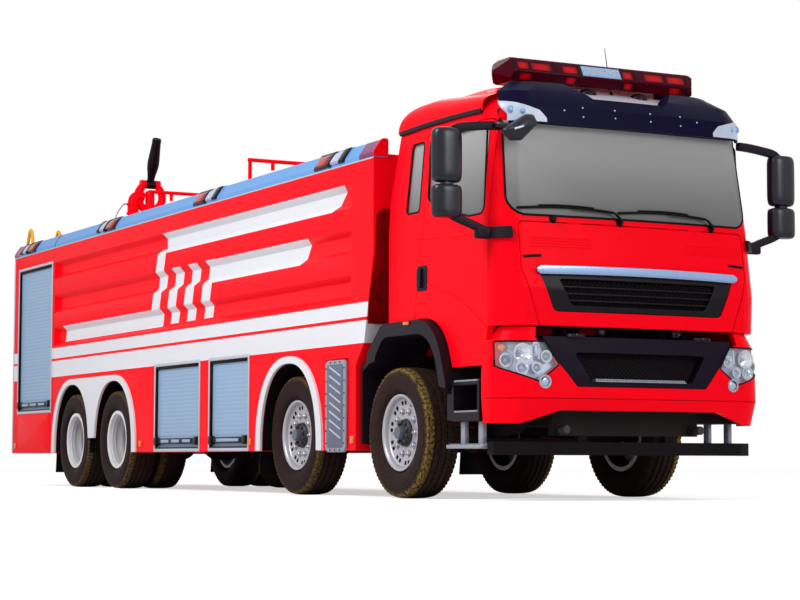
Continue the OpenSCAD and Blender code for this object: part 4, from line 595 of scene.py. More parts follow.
for wheel in ("1l", "1r", "2l", "2r", "3l", "3r", "4l", "4r"):
    twin = wheel[0] in "34"
    kind = hubKinds["twin" if twin else "single"]
    x, y = joints["spin_" + wheel]["pos_m"][0] - axleX, joints["spin_" + wheel]["pos_m"][1]
    side = 1 if y > 0 else -1
    body = "wheel_" + wheel
    made = [tyreGrid(y + d, side) for d in ((-0.1725, 0.1725) if twin else (0.0,))]
    piece = makePiece("tyreTread_" + wheel, [moved(s, x) for s, _ in made], body, rubber, 32,
                      [d * (0.9 if wheel[0] == "1" else 0.45) for _, d in made])
    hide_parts(("tyres_" if twin else "tyre_") + wheel)
    if twin:
        skinOf("rims_" + wheel, brightSilver, 0.003, 30)
        # The well's third column darkens it towards the disc, a painted shade
        well = lathe(wellLine[:, :2], (x, y, axleZ), (0, side, 0), 64, True)
        makePiece("rimWell_" + wheel, [well], body, brightSilver, 40, [wellLine[:, 2:]])
    else:
        piece = makePiece("rimBowl_" + wheel, [lathe(rimLine, (x, y, axleZ), (0, side, 0), 72, True)], body, silver,
                          40)
        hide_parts("rim_" + wheel)
        # Inside of the bowl and the disc's slots in near-black: painted shade
        dark = [lathe(rimInside, (x, y, axleZ), (0, side, 0), 64, True)] + slotSurfaces(x, y, side)
        makePiece("rimDark_" + wheel, dark, body, seal, 40)
    face = y + side * kind["face"]
    makePiece("wheelNuts_" + wheel, nutSurfaces(x, face, side), body, brightSilver if twin else silver, 30)
    # Dark discs under each nut: painted shade round the nuts
    ring = [[0, -0.002], [wheelNut["seat"], -0.002], [wheelNut["seat"], 0.0015], [0, 0.0015]]
    nutShades = [lathe(ring, (x + dx, face, axleZ + dz), (0, side, 0), 16)
             for dx, dz in ringOf(wheelNut["circle"], wheelNut["count"], 0.5)]
    makePiece("nutSeats_" + wheel, nutShades, body, hubGrey, 30)
    shells = [lathe(kind["shell"], (x, face, axleZ), (0, side, 0), 48)]
    # Painted shade: on twin wheels a dark ring round the hub, just proud of the disc, darkens the deep dish
    if twin:  # dark ring round the hub, just proud of the disc
        shells.append(lathe([[0.112, 0.002], [0.134, 0.002], [0.134, -0.002], [0.112, -0.002]], (x, face, axleZ), (0, side, 0),
                            48, True))
    makePiece("hubShell_" + wheel, shells, body, hubGrey, 40)
    r, out, tall = kind["cap"]
    cap = [[0, 0], [r, 0], [r, tall * 0.9], [r * 0.93, tall * 0.98], [0, tall]]
    makePiece("hubCap_" + wheel, [lathe(cap, (x, face + side * out, axleZ), (0, side, 0), 32)], body, capGrey, 40)
    ringR, out = kind["bolts"]
    bolt = [[0, -0.002], [0.017, -0.002], [0.017, 0.014], [0.011, 0.020], [0, 0.020]]
    bolts = [lathe(bolt, (x + dx, face + side * out, axleZ + dz), (0, side, 0), 8) for dx, dz in ringOf(ringR, 10)]
    makePiece("hubBolts_" + wheel, bolts, body, hubGrey, 40)
print("wheels made")

dressed = {  # node: finish, slot, edge bevel, angle up to which shading is soft
    "frame front_axles rear_axles engine knuckle_1l knuckle_1r knuckle_2l knuckle_2r": (steel, "chassis_steel", 0.003, 28),
    "cab_back cab_sides cab_front cab_roof door_left door_right front_flap": (paint, "red_paint", 0.005, 26),
    "bumper tank_body monitor_base monitor_turret roof_rails": (paint, "red_paint", 0.004, 30),
    "cab_glass door_glass_left door_glass_right": (glass, "window_glass", 0.0, 26),
    "cab_floor": (steel, "red_paint", 0.003, 28),
    "cab_interior": (cloth, "cab_trim", 0.012, 28),
    "body_sides": (bodyPaint, "red_paint", 0.006, 28),
    "roof_edges": (edgeBlue, "aluminium", 0.004, 28),
    "sun_visor": (navy, "black_plastic", 0.004, 26),
    "fenders cab_steps": (blackPlastic, "black_plastic", 0.005, 28),
    "underrun_bars": (seal, "black_paint", 0.006, 28),
    "light_bar": (hoodRed, "red_lens", 0.006, 28),
}
for names, (material, slotName, bevel, softAngle) in dressed.items():
    for node in names.split():
        skinOf(node, material, bevel, softAngle)
print("CAD nodes dressed")

# White edging round the wheel arches: a squared ellipse, |x / half| ^ p + (rise / top) ^ p = 1, and the same curve grown.
# The two rear arches share one top line and a post between them; a thin black liner covers each arch inside.
edging = {"foot": 0.383, "half": 0.59, "top": 1.14, "power": 2.3, "wide": 0.105, "rise": 0.062, "postLow": 0.54, "out": 0.022,
          "lead": 0.03, "liner": 0.004, "linerIn": 0.952}


def archLine(centre, grow, rise):
    turn = np.linspace(np.pi, 0, 49)
    bend = 2 / edging["power"]
    x = np.sign(np.cos(turn)) * np.abs(np.cos(turn)) ** bend * (edging["half"] + grow)
    z = edging["foot"] + np.abs(np.sin(turn)) ** bend * (edging["top"] + rise - edging["foot"])
    return np.stack([centre + x, z], -1)


def edgeBand(inner, outer, near, far):
    lines = np.stack([inner, (inner + outer) / 2, outer], 1)
    return slab(*[np.stack([lines[..., 0], np.full(lines.shape[:2], -y), lines[..., 1]], -1) for y in (near, far)])


edgeSizes = ((0.0, 0.0), (edging["wide"], edging["rise"]))
inner2, outer2 = [archLine(axle2 + edging["lead"], *size) for size in edgeSizes]
inner3, outer3 = [archLine(axle3, *size) for size in edgeSizes]
inner4, outer4 = [archLine(axle4, *size) for size in edgeSizes]
topLine = edging["top"] + edging["rise"]
crownAt = len(inner4) // 2
outer4[crownAt:] = np.stack([inner4[crownAt:, 0], np.full(len(inner4) - crownAt, topLine)], -1)
outer3[:crownAt] = np.stack([inner3[:crownAt, 0], np.full(crownAt, topLine)], -1)
inner4[crownAt:, 1] = np.maximum(inner4[crownAt:, 1], edging["postLow"])
inner3[:crownAt, 1] = np.maximum(inner3[:crownAt, 1], edging["postLow"])
edgeOut = halfBody + edging["out"]
bands = [edgeBand(inner2, outer2, edgeOut, halfBody - 0.003),
         edgeBand(np.concatenate([inner4, inner3]), np.concatenate([outer4, outer3]), edgeOut, halfBody - 0.003)]
makePiece("archEdging", bothSides(bands), "chassis", whitePaint, 40, bevel=0.004)
t = edging["liner"]
liners = [edgeBand(archLine(c, -t, -t), archLine(c, -0.0005, -0.0005), halfBody - 0.004, edging["linerIn"])
          for c in (axle2 + edging["lead"], axle3, axle4)]
makePiece("archLiners", bothSides(liners), "chassis", seal, 40)

# Roller shutters: curtains of slats in dark guides, pale frames, dark heads, lift bars with finger slots
# Rows: [rear, front, low, high, finger slots]
shutterRows = [[-9.83, -8.59, 0.876, 2.566, 3], [-5.185, -4.02, 0.413, 1.235, 3], [-3.74, -2.83, 0.413, 1.235, 1]]
shutter = {"frame": 0.030, "proud": 0.007, "head": 0.030, "bar": 0.058, "lift": 0.045, "pitch": 0.040, "deep": 0.022,
           "groove": 0.0022, "guide": 0.016, "rear": (-0.60, 0.60, 0.90, 2.50, 10.070)}


# Curtain: depth follows |sin(pi v)| to a small power, v counting the slats, so each slat is flat with soft edges
def curtain(start, end, low, high, face, place):
    count = round((high - low) / shutter["pitch"])
    v = np.linspace(0, count, count * 8 + 1)[:, None]
    u = np.array([[start, end]])
    depth = face - shutter["groove"] * (1 - np.abs(np.sin(np.pi * v)) ** 0.5)
    z = low + (high - low) * v / count
    front = np.stack(place(u + 0 * v, z + 0 * u, depth + 0 * u), -1)
    back = np.stack(place(u + 0 * v, z + 0 * u, np.full((len(v), 2), face - 0.012)), -1)
    return slab(front, back)


def onRear(u, v, w):  # plate on the rear wall: u along Y, v up, w backwards
    return -w, u, v


curtains, guides, frames, heads, bars, slots = [], [], [], [], [], []
frameOut = halfBody + shutter["proud"]
deep = halfBody - shutter["deep"]
for rear, front, low, high, count in shutterRows:
    f, g = shutter["frame"], shutter["guide"]
    curtains.append(curtain(rear + 0.001, front - 0.001, low, high, deep, onSide))
    for lo, hi in (((rear - f, low - f), (rear, high + f)), ((front, low - f), (front + f, high + f)),
                   ((rear, low - f), (front, low)), ((rear, high), (front, high + f))):
        frames.append(roundBox((lo[0], -frameOut, lo[1]), (hi[0], -halfBody + 0.004, hi[1]), 0.004, 2))
    for lo, hi in (((rear, low), (rear + g, high)), ((front - g, low), (front, high)), ((rear, low), (front, low + g))):
        guides.append(roundBox((lo[0], -halfBody - 0.001, lo[1]), (hi[0], -deep, hi[1]), 0.002, 1))
    heads.append(roundBox((rear + 0.004, -frameOut + 0.010, high - shutter["head"]),
                          (front - 0.004, -deep + 0.004, high - 0.002), 0.004, 2))
    z = low + shutter["lift"]
    bars.append(roundBox((rear + 0.012, -frameOut - 0.006, z), (front - 0.012, -deep + 0.001, z + shutter["bar"]), 0.010, 2))
    for end in (rear + 0.05, front - 0.05):  # latch blocks at both ends
        bars.append(roundBox((end - 0.040, -frameOut - 0.020, z - 0.012), (end + 0.040, -deep, z + shutter["bar"] + 0.012),
                             0.012, 2))
    room = (front - rear - 0.30) / count
    for k in range(count):
        left = rear + 0.15 + room * k
        slots.append(roundBox((left + 0.04, -frameOut - 0.0085, z + 0.014),
                              (left + room - 0.04, -frameOut, z + shutter["bar"] - 0.014), 0.004, 2))
piece = makePiece("shutterCurtains", bothSides(curtains) + [curtain(*shutter["rear"], onRear)], "chassis", alloy, 50)
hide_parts("shutters")
makePiece("shutterGuides", bothSides(guides), "chassis", glossBlack, 40)
makePiece("shutterFrames", bothSides(frames), "chassis", paleTrim, 40)
makePiece("shutterHeads", bothSides(heads), "chassis", seal, 40)
makePiece("shutterLiftBars", bothSides(bars), "chassis", glossBlack, 40)
makePiece("shutterFingerSlots", bothSides(slots), "chassis", alloy, 40)

# Seam, step panel and trim of the body side; a pale bead runs under the roof edge
makePiece("bodySeams", bothSides([roundBox((-8.515, -halfBody - 0.0008, 0.385), (-8.511, -halfBody + 0.004, 2.745), 0.001, 1)]),
          "chassis", darkRed, 40)
makePiece("roofEdgeBeads",
          bothSides([roundBox((-10.03, -halfBody - 0.004, 2.740), (-0.305, -halfBody + 0.004, 2.752), 0.003, 2)]),
          "chassis", paleTrim, 40)
stepPanel = [plate(rounded([[-9.82, 0.405, 0.012], [-8.60, 0.405, 0.012], [-8.60, 0.835, 0.012], [-9.82, 0.835, 0.012]], 3),
                   halfBody - 0.003, halfBody + 0.006, 0.003, onSide)]
makePiece("rearStepPanel", bothSides(stepPanel), "chassis", paint, 40)
makePiece("bodyEndTrim", bothSides([roundBox((-10.052, -halfBody - 0.006, 0.40), (-10.020, -halfBody + 0.004, 2.74), 0.004, 2)]),
          "chassis", paleTrim, 40)


# Painted glow: bright middle of a lens on a slab, highest in the middle of the front grid, none on its back and rim
def paintedGlowMiddle(rows, cols):
    u, v = np.linspace(-1, 1, rows)[:, None], np.linspace(-1, 1, cols)[None]
    tint = np.zeros((rows + 2, 2 * cols))
    tint[1:-1, :cols] = ((1 - u ** 2) * (1 - v ** 2)) ** 0.6
    return tint


# Roof-edge lamps on the leaning edge: black backing, red lens, black wedge, pale lens and black end
# The front two are turned round
edgeLamp = {"places": [-9.472, -6.699, -3.945, -1.165], "recesses": [-9.472, -6.699, -3.850, -1.084], "z": (2.764, 2.896),
            "knee": 2.790, "lean": 0.66, "bulge": 0.022, "recess": (-0.270, 0.270), "red": (-0.035, 0.225),
            "clear": (-0.235, -0.065), "back": (-0.060, 0.255), "wedge": (-0.075, -0.028), "end": (-0.330, -0.222)}


def edgePatch(place, turned, span, low, high, out, bulge=0.0, rows=9, cols=7):
    x0, x1 = sorted(place + turned * s for s in span)
    u, v = np.meshgrid(np.linspace(-1, 1, rows), np.linspace(-1, 1, cols), indexing="ij")
    z = (low + high) / 2 + v * (high - low) / 2
    face = halfBody - edgeLamp["lean"] * np.maximum(z - edgeLamp["knee"], 0)
    x = (x0 + x1) / 2 + u * (x1 - x0) / 2
    front = face + out + bulge * ((1 - u ** 4) * (1 - v ** 4)) ** 0.5
    return slab(np.stack([x, -front, z], -1), np.stack([x, -face + 0.020, z], -1))


blacks, reds, clears = [], [], []
low, high = edgeLamp["z"]
for k, place in enumerate(edgeLamp["places"]):
    turned = 1 if k < 2 else -1
    blacks += [edgePatch(place, turned, edgeLamp["back"], low, high + 0.008, 0.010),
               edgePatch(place, turned, edgeLamp["wedge"], low, high, 0.022, 0.012),
               edgePatch(place, turned, edgeLamp["end"], low + 0.01, high + 0.006, 0.014, 0.012)]
    reds.append(edgePatch(place, turned, edgeLamp["red"], low + 0.010, high - 0.008, 0.014, edgeLamp["bulge"]))
    clears.append(edgePatch(place, turned, edgeLamp["clear"], low + 0.012, high - 0.006, 0.010, edgeLamp["bulge"]))
covers = [edgePatch(place, 1, edgeLamp["recess"], 2.756, 2.902, 0.0015) for place in edgeLamp["recesses"]]
makePiece("edgeLampRecesses", bothSides(covers), "chassis", edgeBlue, 40)
piece = makePiece("edgeLampBlacks", bothSides(blacks), "chassis", glossBlack, 40)
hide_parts("body_lamps")
# The red lenses get a painted glow in their middles
makePiece("edgeLampReds", bothSides(reds), "chassis", deepRed, 40, [paintedGlowMiddle(9, 7) * 0.8] * (2 * len(reds)))
makePiece("edgeLampClears", bothSides(clears), "chassis", paleLens, 40)
tail = [roundBox((-10.068, y0, 0.636), (-10.048, y1, 0.784), 0.008, 2) for y0, y1 in ((-1.045, -0.925), (-0.920, -0.850))]
makePiece("tailLampReds", bothSides(tail), "chassis", plumLens, 40)
makePiece("tailLampAmbers", bothSides([roundBox((-10.068, -0.845, 0.636), (-10.048, -0.798, 0.784), 0.008, 2)]), "chassis",
          orange, 40)

# Roof edge: plum end lenses that follow its profile (red with a painted bluish highlight), red end plates, one joint
edgeProfile = rounded([[1.118, 2.753, 0], [1.252, 2.753, 0.004], [1.253, 2.790, 0.03], [1.178, 2.903, 0.045],
                       [1.118, 2.903, 0.02]], 5)
lenses = [tube([[a, 0, 0], [a + 0.01, 0, 0], [b - 0.01, 0, 0], [b, 0, 0]], edgeProfile)
          for a, b in ((-0.56, -0.302), (-10.048, -9.85))]
makePiece("roofEndLenses", bothSides(lenses), "chassis", plumLens, 30)
endPlates = [tube([[a, 0, 0], [b, 0, 0]], edgeProfile * [1.002, 1.001]) for a, b in ((-0.301, -0.289), (-10.056, -10.049))]
makePiece("roofEndPlates", bothSides(endPlates), "chassis", paint, 30)
makePiece("roofEdgeJoints", bothSides([tube([[-8.503, 0, 0], [-8.498, 0, 0]], edgeProfile * [1.0005, 1.0002])]), "chassis",
          steel, 30)

# Orange markers on skirts and fenders
markers = [roundBox((x - 0.030, -halfBody - 0.016, 0.435), (x + 0.030, -halfBody + 0.004, 0.500), 0.008, 2)
           for x in (-9.91, -5.60, -2.77, -0.665)]
markers.append(roundBox((0.215, -1.253, 1.352), (0.305, -1.235, 1.378), 0.006, 2))
makePiece("orangeMarkers", bothSides(markers), "chassis", orange, 40)

# Tread pads: a pale frame, a blue-grey panel with slanted slits, rivets round the frame
pad = {"x": (-1.141, -0.760), "z": (0.366, 1.128), "proud": 0.025, "border": 0.036, "slits": 8}


def padOutline(inset, r):
    (x0, x1), (z0, z1) = pad["x"], pad["z"]
    return rounded([[x0 + inset, z0 + inset, r], [x1 - inset, z0 + inset, r], [x1 - inset, z1 - inset, r],
                    [x0 + inset, z1 - inset, r]], 5)


padOut = halfBody + pad["proud"]
piece = makePiece("treadPadFrames", bothSides([plate(padOutline(0, 0.055), halfBody - 0.004, padOut, 0.008, onSide)]), "chassis",
                  padTrim, 40)
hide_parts("vent_panels")
makePiece("treadPadPanels", bothSides([plate(padOutline(pad["border"], 0.03), padOut - 0.004, padOut + 0.002, 0.002, onSide)]),
          "chassis", padGrey, 40)
slits = []
for z in np.linspace(pad["z"][0] + 0.16, pad["z"][1] - 0.09, pad["slits"]):
    x0, x1 = pad["x"][0] + 0.085, pad["x"][1] - 0.085
    line = rounded([[x0, z + 0.028, 0.004], [x1, z - 0.052, 0.004], [x1, z - 0.036, 0.004], [x0, z + 0.044, 0.004]], 3)
    slits.append(plate(line, padOut, padOut + 0.0045, 0.001, onSide))
makePiece("treadPadSlits", bothSides(slits), "chassis", paleTrim, 40)
edgeX, edgeZ = (pad["x"][0] + 0.018, pad["x"][1] - 0.018), (pad["z"][0] + 0.018, pad["z"][1] - 0.018)
rivetAt = [(x, z) for x in edgeX for z in np.linspace(0.44, 1.06, 7)] + [(x, z) for x in (-1.04, -0.95, -0.86) for z in edgeZ]
rivets = [lathe([[0, 0.006], [0.005, 0.005], [0.008, 0.002], [0.008, -0.004], [0, -0.004]], (x, -padOut, z), (0, -1, 0),
                8) for x, z in rivetAt]
makePiece("padRivets", bothSides(rivets), "chassis", steel, 50)

# Mud flaps: rubber sheets that bow a little towards their lower edge
flap = {"thick": 0.008, "bow": 0.03, "sheets": ((axle4 - 0.67, 0.16, 0.62, 0.70, 1.21), (axle2 - 0.70, 0.17, 0.62, 0.86, 1.20))}
flaps = []
for x, low, high, y0, y1 in flap["sheets"]:
    z, y = np.meshgrid(np.linspace(high, low, 9), np.linspace(-y1, -y0, 5), indexing="ij")
    curve = x - flap["bow"] * ((high - z) / (high - low)) ** 2
    flaps.append(slab(np.stack([curve, y, z], -1), np.stack([curve + flap["thick"], y, z], -1)))
makePiece("mudFlaps", bothSides(flaps), "chassis", seal, 40)

# Gap behind the cab: a thin dark sheet on the body's front end stands for the dark opening there, a painted shade
gap = {"edge": [[1.05, 1.2500], [1.57, 1.2500], [1.95, 1.236], [2.28, 1.222], [2.31, 1.200], [2.330, 1.160]], "inner": 0.96,
       "front": [[1.05, -0.40], [1.573, -0.389], [1.960, -0.299], [2.75, -0.299]]}
edgeLine, frontLine = np.array(gap["edge"]), np.array(gap["front"])
z, u = np.meshgrid(np.concatenate([np.linspace(1.40, 2.28, 20), [2.30, 2.315, 2.330]]), np.linspace(0, 1, 6), indexing="ij")
y = -np.interp(z, edgeLine[:, 0], edgeLine[:, 1]) * (1 - u) - gap["inner"] * u
x = np.interp(z, frontLine[:, 0], frontLine[:, 1])
makePiece("bodyFrontOpening", bothSides([slab(np.stack([x + 0.006, y, z], -1), np.stack([x - 0.004, y, z], -1))]), "chassis",
          gapShade, 40)
print("body trimmed")

# Window seals: rubber beads that follow each opening on the cab's skin
doorWindow = rounded([[0.445, 2.33, 0.03], [0.445, 2.79, 0.04], [1.335, 2.79, 0.06], [1.335, 2.125, 0.06],
                      [1.105, 2.125, 0.12], [0.60, 2.23, 0.15]])
quarterWindow = rounded([[0.085, 2.24, 0.04], [0.15, 2.79, 0.04], [0.35, 2.79, 0.03], [0.31, 2.24, 0.04]])
screen = {"low": 2.102, "high": 2.812, "half": (1.074, 1.045), "corner": 0.14}


# Windscreen half width by height: straight sides, and a quarter circle at the foot
def screenHalf(z):
    rise = np.maximum(screen["corner"] - (z - screen["low"]), 0)
    side = np.interp(z, [screen["low"], screen["high"]], screen["half"])
    return side - screen["corner"] + np.sqrt(screen["corner"] ** 2 - rise ** 2)


def fineLine(line, step=0.05):  # more points along the long stretches of an outline
    nextOnes = np.roll(line, -1, 0)
    counts = np.maximum(1, np.ceil(np.linalg.norm(nextOnes - line, axis=1) / step).astype(int))
    return np.concatenate([a + (b - a) * np.arange(n)[:, None] / n for a, b, n in zip(line, nextOnes, counts)])


def sideBead(line, radius, out):
    line = fineLine(line)
    half = np.interp(line[:, 1], cab.table[:, 0], cab.table[:, 2])
    return tube(np.stack([line[:, 0], -half - out, line[:, 1]], -1), circle(radius, 8), (0, 1, 0), True)


for side, flip in (("right", 1), ("left", -1)):
    bead = [sideBead(doorWindow, 0.008, -0.002)]
    makePiece("doorWindowSeal_" + side, bead if flip > 0 else mirrored(bead), "door_" + side, seal, 50)
beads = bothSides([sideBead(quarterWindow, 0.008, -0.002)])
foot = screen["low"] + screen["corner"] * (1 - np.cos(np.linspace(0, np.pi / 2, 12)))
zs = np.concatenate([foot, np.linspace(foot[-1], screen["high"], 9)[1:]])
z, u = np.meshgrid(zs, np.linspace(-1, 1, 61), indexing="ij")
s = cab.along(u * screenHalf(z), z)
makePiece("windscreenPane", [slab(cab.at(s, z, 0.002), cab.at(s, z, -0.004))], "chassis", glass, 40)
across = np.concatenate([-screenHalf(zs[::-1]), np.linspace(-1, 1, 31)[1:-1] * screenHalf(zs[0]), screenHalf(zs)])
upward = np.concatenate([zs[::-1], np.full(29, zs[0]), zs])
beads.append(tube(cab.at(cab.along(across, upward), upward, 0.0), circle(0.009, 8), (1, 0, 0)))
makePiece("cabWindowSeals", beads, "chassis", seal, 50)

# Door fittings: handle in its dish, two pressed creases, rain gutter over the door
handle = {"x": (0.285, 0.455), "z": (1.612, 1.812)}
hx, hz = handle["x"], handle["z"]
dish = plate(rounded([[hx[0], hz[0], 0.03], [hx[1], hz[0], 0.03], [hx[1], hz[1], 0.03], [hx[0], hz[1], 0.03]], 4), 1.150, 1.166,
             0.005, onSide)
grip = plate(rounded([[hx[0] + 0.035, hz[0] + 0.025, 0.02], [hx[0] + 0.10, hz[0] + 0.025, 0.02],
                      [hx[0] + 0.10, hz[1] - 0.02, 0.02], [hx[0] + 0.035, hz[1] - 0.02, 0.02]], 4), 1.160, 1.190, 0.012, onSide)
creases = []
for ends in (((0.30, 2.035), (0.85, 1.998), (1.385, 1.990)), ((0.46, 1.655), (0.85, 1.55), (1.12, 1.42), (1.36, 1.285))):
    line = smoothPath(ends, 8)
    half = np.interp(line[:, 1], cab.table[:, 0], cab.table[:, 2])
    t = np.linspace(0, np.pi, 7)
    ridge = np.concatenate([np.stack([0.014 * np.cos(t), 0.006 * np.sin(t)], -1), [[-0.014, -0.004], [0.014, -0.004]]])
    creases.append(tube(np.stack([line[:, 0], -half, line[:, 1]], -1), ridge, (0, -1, 0)))
for side, flip in (("right", 1), ("left", -1)):
    fitting, lines = ([dish, grip], creases) if flip > 0 else (mirrored([dish, grip]), mirrored(creases))
    makePiece("doorHandle_" + side, fitting, "door_" + side, blackPlastic, 40)
    makePiece("doorCreases_" + side, lines, "door_" + side, paint, 60)
gutterX = np.linspace(-0.05, 1.255, 24)
gutter = tube(np.stack([gutterX, np.full(24, -1.128), 2.905 + 0.012 * np.sin(np.linspace(0, np.pi, 24))], -1),
              barSection(0.016, 0.018, 0.006, 3))
makePiece("rainGutters", bothSides([gutter]), "chassis", blackPlastic, 40)

# Front panel: pressed ribs, dark corner slots, chrome bar over the grille
ribs = []
for z in (1.872, 1.893, 1.914, 1.935):
    s = np.linspace(0.42, 0.93, 20)
    ribs.append(tube(cab.at(s, np.full(20, z), 0.001), barSection(0.004, 0.004, 0.002, 2)))
makePiece("frontRibs", bothSides(ribs), "front_flap", paint, 40)
slots = []
s = np.linspace(0.84, 0.985, 12)
slots.append(tube(cab.at(s, 1.80 - 0.012 * (s - 0.84) / 0.15, 0.001), barSection(0.004, 0.010, 0.003, 2)))
makePiece("frontSlots", bothSides(slots), "front_flap", seal, 40)
s = np.linspace(-0.893, 0.893, 60)
barHalf = 0.033 * np.clip((0.905 - np.abs(s)) / 0.03, 0.35, 1)
barProfile = rounded([[-1, -1, 0.35], [1, -1, 0.35], [1, 1, 0.35], [-1, 1, 0.35]], 4)
profile = np.stack([0.020 * barProfile[None, :, 0] + 0 * barHalf[:, None], barHalf[:, None] * barProfile[None, :, 1]], -1)
chromeBar = tube(cab.at(s, 1.692 + 0.010 * (1 - (s / 0.9) ** 2), 0.010), profile)
makePiece("grilleChromeBar", [chromeBar], "front_flap", barChrome, 40)


# Grille: a ring between two outlines on the cab's front, a sunk back and crossed mesh bars
def onNose(nose, line, out):
    return nose.at(nose.along(line[..., 0], line[..., 1]), line[..., 1], out)


def frameRing(nose, outer, inner, front, back):
    lines = np.stack([outer, inner], 1)
    a, b = onNose(nose, lines, front), onNose(nose, lines, back)
    loop = np.stack([a[:, 0], a[:, 1], b[:, 1], b[:, 0]], 1)
    return loop, True, True


def meshBars(nose, width, low, high, pitch, slope, out, half):
    made = []
    tall = high - low
    for lean in (-1, 1):
        for start in np.arange(-width(low) - tall / slope, width(low) + tall / slope, pitch):
            t = np.linspace(0, 1, 9)
            y = start + lean * t * tall / slope + (tall / slope if lean < 0 else 0)
            z = low + t * tall
            keep = np.abs(y) < width(z) - 0.004
            if keep.sum() < 3:
                continue
            made.append(tube(nose.at(nose.along(y[keep], z[keep]), z[keep], out + 0.002 * lean), circle(half, 4), (1, 0, 0)))
    return made


outerLine = fineLine(rounded([[-0.870, 1.686, 0.02], [0.870, 1.686, 0.02], [0.745, 1.391, 0.06], [-0.745, 1.391, 0.06]], 6), 0.04)
middleOf = np.array([0, 1.525])
innerLine = middleOf + (outerLine - middleOf) * [0.80, 0.66]
ring = frameRing(cab, outerLine, innerLine, -0.010, -0.052)
piece = makePiece("grilleFrame", [ring], "front_flap", glossBlack, 30, bevel=0.006)
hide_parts("grille")
y, z = np.meshgrid(np.linspace(-0.86, 0.86, 40), np.linspace(1.395, 1.682, 6), indexing="ij")
y = y * np.interp(z, [1.391, 1.686], [0.74, 0.865]) / 0.86
makePiece("grilleBack", [slab(cab.at(cab.along(y, z), z, -0.048), cab.at(cab.along(y, z), z, -0.055))], "front_flap", seal,
          30)


def grilleWidth(z):
    return np.interp(z, [1.42, 1.63], [0.60, 0.69])


bars = meshBars(cab, grilleWidth, 1.42, 1.632, 0.042, 1.2, -0.034, 0.0035)
for z in (1.475, 1.525, 1.575):
    s = np.linspace(-grilleWidth(z), grilleWidth(z), 40)
    bars.append(tube(cab.at(s, np.full(40, z), -0.028), barSection(0.010, 0.006, 0.003, 2)))
makePiece("grilleMesh", bars, "front_flap", glossBlack, 40)

# Lower grille: a navy frame on the bumper's curve, dark back and mesh in its recess,
# serrated strip along the foot, latches above
mouth = {"top": 1.090, "low": 0.880, "depth": -0.085}


def mouthWidth(z):
    return np.interp(z, [mouth["low"], mouth["top"]], [0.43, 0.55])


# A closed outline given by its right-hand half from the top middle down: as many points on each stretch, then mirrored
def halfLine(stretches, steps=24):
    t = np.linspace(0, 1, steps, endpoint=False)
    right = []
    for line in stretches:
        line = np.array(line, float)
        run = np.concatenate([[0], np.cumsum(np.linalg.norm(np.diff(line, axis=0), axis=1))])
        right.append(np.stack([np.interp(t * run[-1], run, line[:, k]) for k in (0, 1)], -1))
    right = np.concatenate(right + [np.array(stretches[-1][-1:], float)])
    return np.concatenate([right, right[-2:0:-1] * [-1, 1]])


mouthOuter = halfLine([[[0, 1.210], [0.840, 1.210]], [[0.840, 1.210], [0.822, 1.165], [0.712, 1.001], [0.585, 0.853]],
                       [[0.585, 0.853], [0.560, 0.839], [0, 0.839]]])
mouthInner = halfLine([[[0, mouth["top"]], [0.560, mouth["top"]]], [[0.560, mouth["top"]], [0.572, 1.075], [0.455, 0.892]],
                       [[0.455, 0.892], [0.440, mouth["low"]], [0, mouth["low"]]]])
piece = makePiece("lowerGrilleFrame", [frameRing(bumper, mouthOuter, mouthInner, -0.004, mouth["depth"])], "chassis", navyPanel,
                  30, bevel=0.006)
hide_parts("lower_grille")
y, z = np.meshgrid(np.linspace(-0.60, 0.60, 30), np.linspace(0.872, 1.10, 5), indexing="ij")
makePiece("lowerGrilleBack", [slab(bumper.at(y, z, -0.084), bumper.at(y, z, -0.094))], "chassis", seal, 30)
makePiece("lowerGrilleMesh", meshBars(bumper, mouthWidth, 0.885, 1.085, 0.034, 1.0, -0.078, 0.0030), "chassis", blackPlastic,
          40)
teeth = [roundBox((1.625, v, 0.884), (1.678, v + 0.012, 0.902), 0.002, 1) for v in np.arange(-0.40, 0.40, 0.020)]
teeth.append(roundBox((1.622, -0.405, 0.878), (1.680, 0.405, 0.888), 0.002, 1))
makePiece("serratedStrip", teeth, "chassis", galvanised, 40)
latches = [roundBox((1.58, v - 0.075, 1.196), (1.665, v + 0.075, 1.232), 0.010, 2) for v in (-0.56, 0.56)]
latches += [roundBox((1.60, v - 0.03, 1.225), (1.650, v + 0.03, 1.270), 0.008, 2) for v in (-0.33, 0.33)]
makePiece("lidLatches", latches, "chassis", blackPlastic, 40)
bolts = [lathe([[0, 0.010], [0.008, 0.010], [0.011, 0.004], [0.011, -0.01], [0, -0.01]], (1.664, v, z), (1, 0, 0.2), 10)
         for v, z in ((-0.625, 1.214), (-0.565, 1.222), (-0.345, 1.245), (0.345, 1.245), (0.565, 1.222), (0.625, 1.214))]
makePiece("latchBolts", bolts, "chassis", hubGrey, 40)

# Dark red line along the bumper's crease: painted shade of the crease
s = np.linspace(-1.36, 1.36, 90)
groove = [tube(bumper.at(s, np.full(90, 0.754), 0.0), circle(0.0035, 6))]
makePiece("bumperGroove", groove, "chassis", darkRed, 50)

# Headlamps: clear cover on the bumper's curve, pale bowl behind it, round reflectors with bulbs
lamp = {"end": 1.482, "cover": -0.004, "bowl": -0.062, "strip": (0.871, 1.092, 0.055)}
sEnd = float(bumper.back(lamp["end"], 1.08))
lampS = np.linspace(0.722, sEnd, 40)


def lampGrid(out, shrink):
    low = np.interp(lampS, [0.716, 0.885, sEnd], [1.001, 0.876, 0.985]) + shrink
    high = np.interp(lampS, [0.716, 0.825, sEnd], [1.001, 1.167, 1.167]) - shrink
    high = np.maximum(high, low + 0.004)
    v = np.linspace(0, 1, 14)[None, :]
    z = low[:, None] + (high - low)[:, None] * v
    return bumper.at(lampS[:, None] + 0 * z, z, out)


